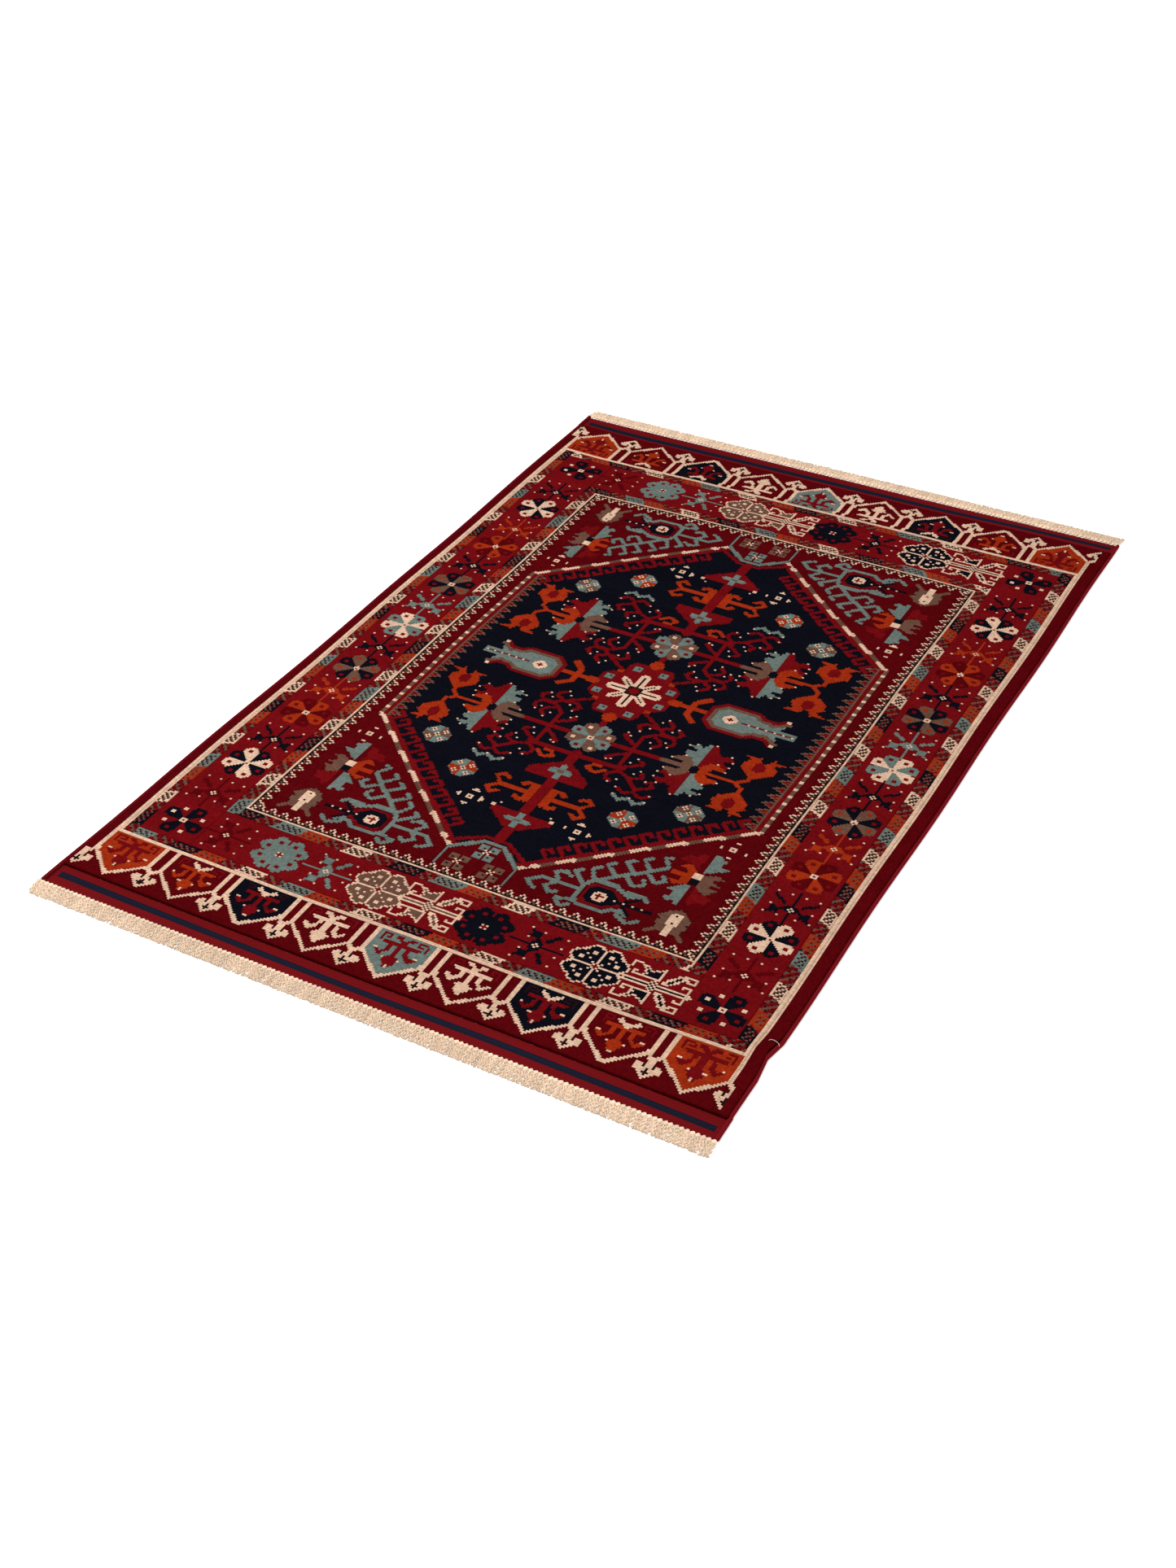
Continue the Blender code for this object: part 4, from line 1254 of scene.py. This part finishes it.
WRAP = 0.0015
WRAP_GROOVE = 0.0003
WRAP_SLANT = 0.0009
CORD_SIDES = 10
for hand, column, radius in (("left", -149.5, 0.0039), ("right", 152.1, 0.0036)):
    turns = np.linspace(-WOVEN_HALF, WOVEN_HALF, int(2 * WOVEN_HALF / WRAP) * 2 + 1)
    x, y = lay(np.full(len(turns), column), turns / KNOT_ALONG)
    path = np.stack([x, turns, np.full(len(turns), radius)], axis=-1)
    radii = np.where(np.arange(len(turns)) % 2 == 0, radius - WRAP_GROOVE, radius)
    spots, sides = tube(path, radii[:, None] * np.ones(CORD_SIDES), CORD_SIDES)
    # Turns slant, as thread does when it is wound, but the two end faces stay square.
    ring = np.tile(np.arange(CORD_SIDES), len(turns)) * 2 * np.pi / CORD_SIDES
    spots[:, 1] += WRAP_SLANT * np.sin(ring) * (np.abs(spots[:, 1]) < WOVEN_HALF - WRAP)
    bundle(
        f"selvedge_{hand}_wrapped_cord", [(spots, sides)], cord_wool, f"selvedge_{hand}"
    )

# One undyed end has worked loose beside the right cord and stands up as a thin white arc.
thread_wool = dyed_wool("loose_undyed_thread", "#f2eadc", 0.05)
bend = np.linspace(0.0, np.pi, 15)
start_x, start_y = lay(np.array([150.2]), np.array([-190.5]))
arc = np.stack([
    start_x[0] + 0.009 * np.cos(bend) + 0.002, start_y[0] + 0.004 * np.sin(bend) - 0.002 * np.cos(bend),
    0.0088 + 0.0016 * np.sin(bend),
], axis=-1)
THREAD_RADIUS = 0.00035
spots, sides = tube(arc, THREAD_RADIUS, 5)
bundle("loose_warp_thread", [(spots, sides)], thread_wool)


# ---------------------------------------------------------------- fringe knots
# Warps are tied off in small groups against the kilim, so that it can't come undone.
# Each knot is a cream bead with two or three slanting turns of yarn round it.
# The fringe wool is painted darker low down by the floor and lighter on top, as painted shade.
fringe_wool = dyed_wool("cream_fringe_wool", "#e6cbb0", 0.10, shade_heights=(0.0004, 0.0040))
KNOT_PITCH = 0.0083
KNOT_PLACES = np.arange(-0.6030, 0.5985, KNOT_PITCH)
KNOT_START = 0.9129
KNOT_SIDES = 12
for end, way in (("near", -1), ("far", 1)):
    beads = []
    for place in KNOT_PLACES:
        lean = rng.normal(0.25, 0.12)
        length = 0.0078 + rng.normal(0.0, 0.0003)
        along = np.linspace(0.0, 1.0, 15)
        path = np.stack([
            place + rng.normal(0.0, 0.0004) + lean * length * (along - 0.5),
            way * (KNOT_START + along * length),
            0.0025 + 0.0008 * np.sin(np.pi * along),
        ], axis=-1)
        angles = np.arange(KNOT_SIDES) * 2 * np.pi / KNOT_SIDES
        swell = 0.0037 * np.sqrt(np.clip(1.0 - (2 * along - 1.0) ** 2, 0.10, 1.0))
        turns = 1.0 + 0.2 * np.cos(2 * (2 * np.pi * along[:, None] * 0.9 + angles[None, :]))
        turns *= 1.0 - 0.12 * np.cos(2 * np.pi * along[:, None] * 3.0 + angles[None, :])
        beads.append(tube(path, swell[:, None] * turns, KNOT_SIDES, squash=0.6))
    bundle(
        f"fringe_knot_row_{end}", beads, fringe_wool, f"fringe_knots_{end}"
    )


# ---------------------------------------------------------------- fringe yarns
# Four loose warp ends come out of every knot. They kept the crimp of the weave, so they lie in
# S-waves side by side, about 26 mm long and cut off even, and read as a soft cream fleece.
YARN_START = 0.9200
YARN_SIDES = 6
YARN_RADIUS = 0.00118
for end, way in (("near", -1), ("far", 1)):
    yarns = []
    for place in KNOT_PLACES:
        lean = 0.0034 + 0.0022 * np.sin(place * 19.0) + rng.normal(0.0, 0.0009)
        phase = 0.6 * np.sin(place * 31.0) + rng.normal(0.0, 0.10)
        waves = rng.uniform(2.3, 3.1)
        for number in range(4):
            length = 0.0262 + rng.normal(0.0, 0.0006)
            along = np.linspace(0.0, 1.0, 18)
            root = place + (number - 1.5) * 0.0020
            turn = 2 * np.pi * (waves * along + phase + 0.06 * number + rng.normal(0.0, 0.05))
            wave = 0.0017 * np.sin(turn) * np.minimum(1.0, along * 5)
            tier = 0.0014 + 0.0009 * (number % 2) + 0.0004 * rng.random()
            height = tier + 0.0008 * np.sin(turn * 1.3 + 2 * np.pi * rng.random())
            height = np.maximum(height * (1.0 - 0.25 * along), 0.0012)
            drift = (lean + rng.normal(0.0, 0.0008)) * along ** 1.3
            path = np.stack([root + drift + wave, way * (YARN_START + along * length), height], axis=-1)
            angles = np.arange(YARN_SIDES) * 2 * np.pi / YARN_SIDES
            twist = 2 * np.pi * along[:, None] * 4.0
            ply = YARN_RADIUS * (1.0 + 0.22 * np.cos(2 * (angles[None, :] - twist)))
            yarns.append(tube(path, ply, YARN_SIDES))
    bundle(
        f"fringe_yarn_ends_{end}", yarns, fringe_wool, f"fringe_yarns_{end}"
    )
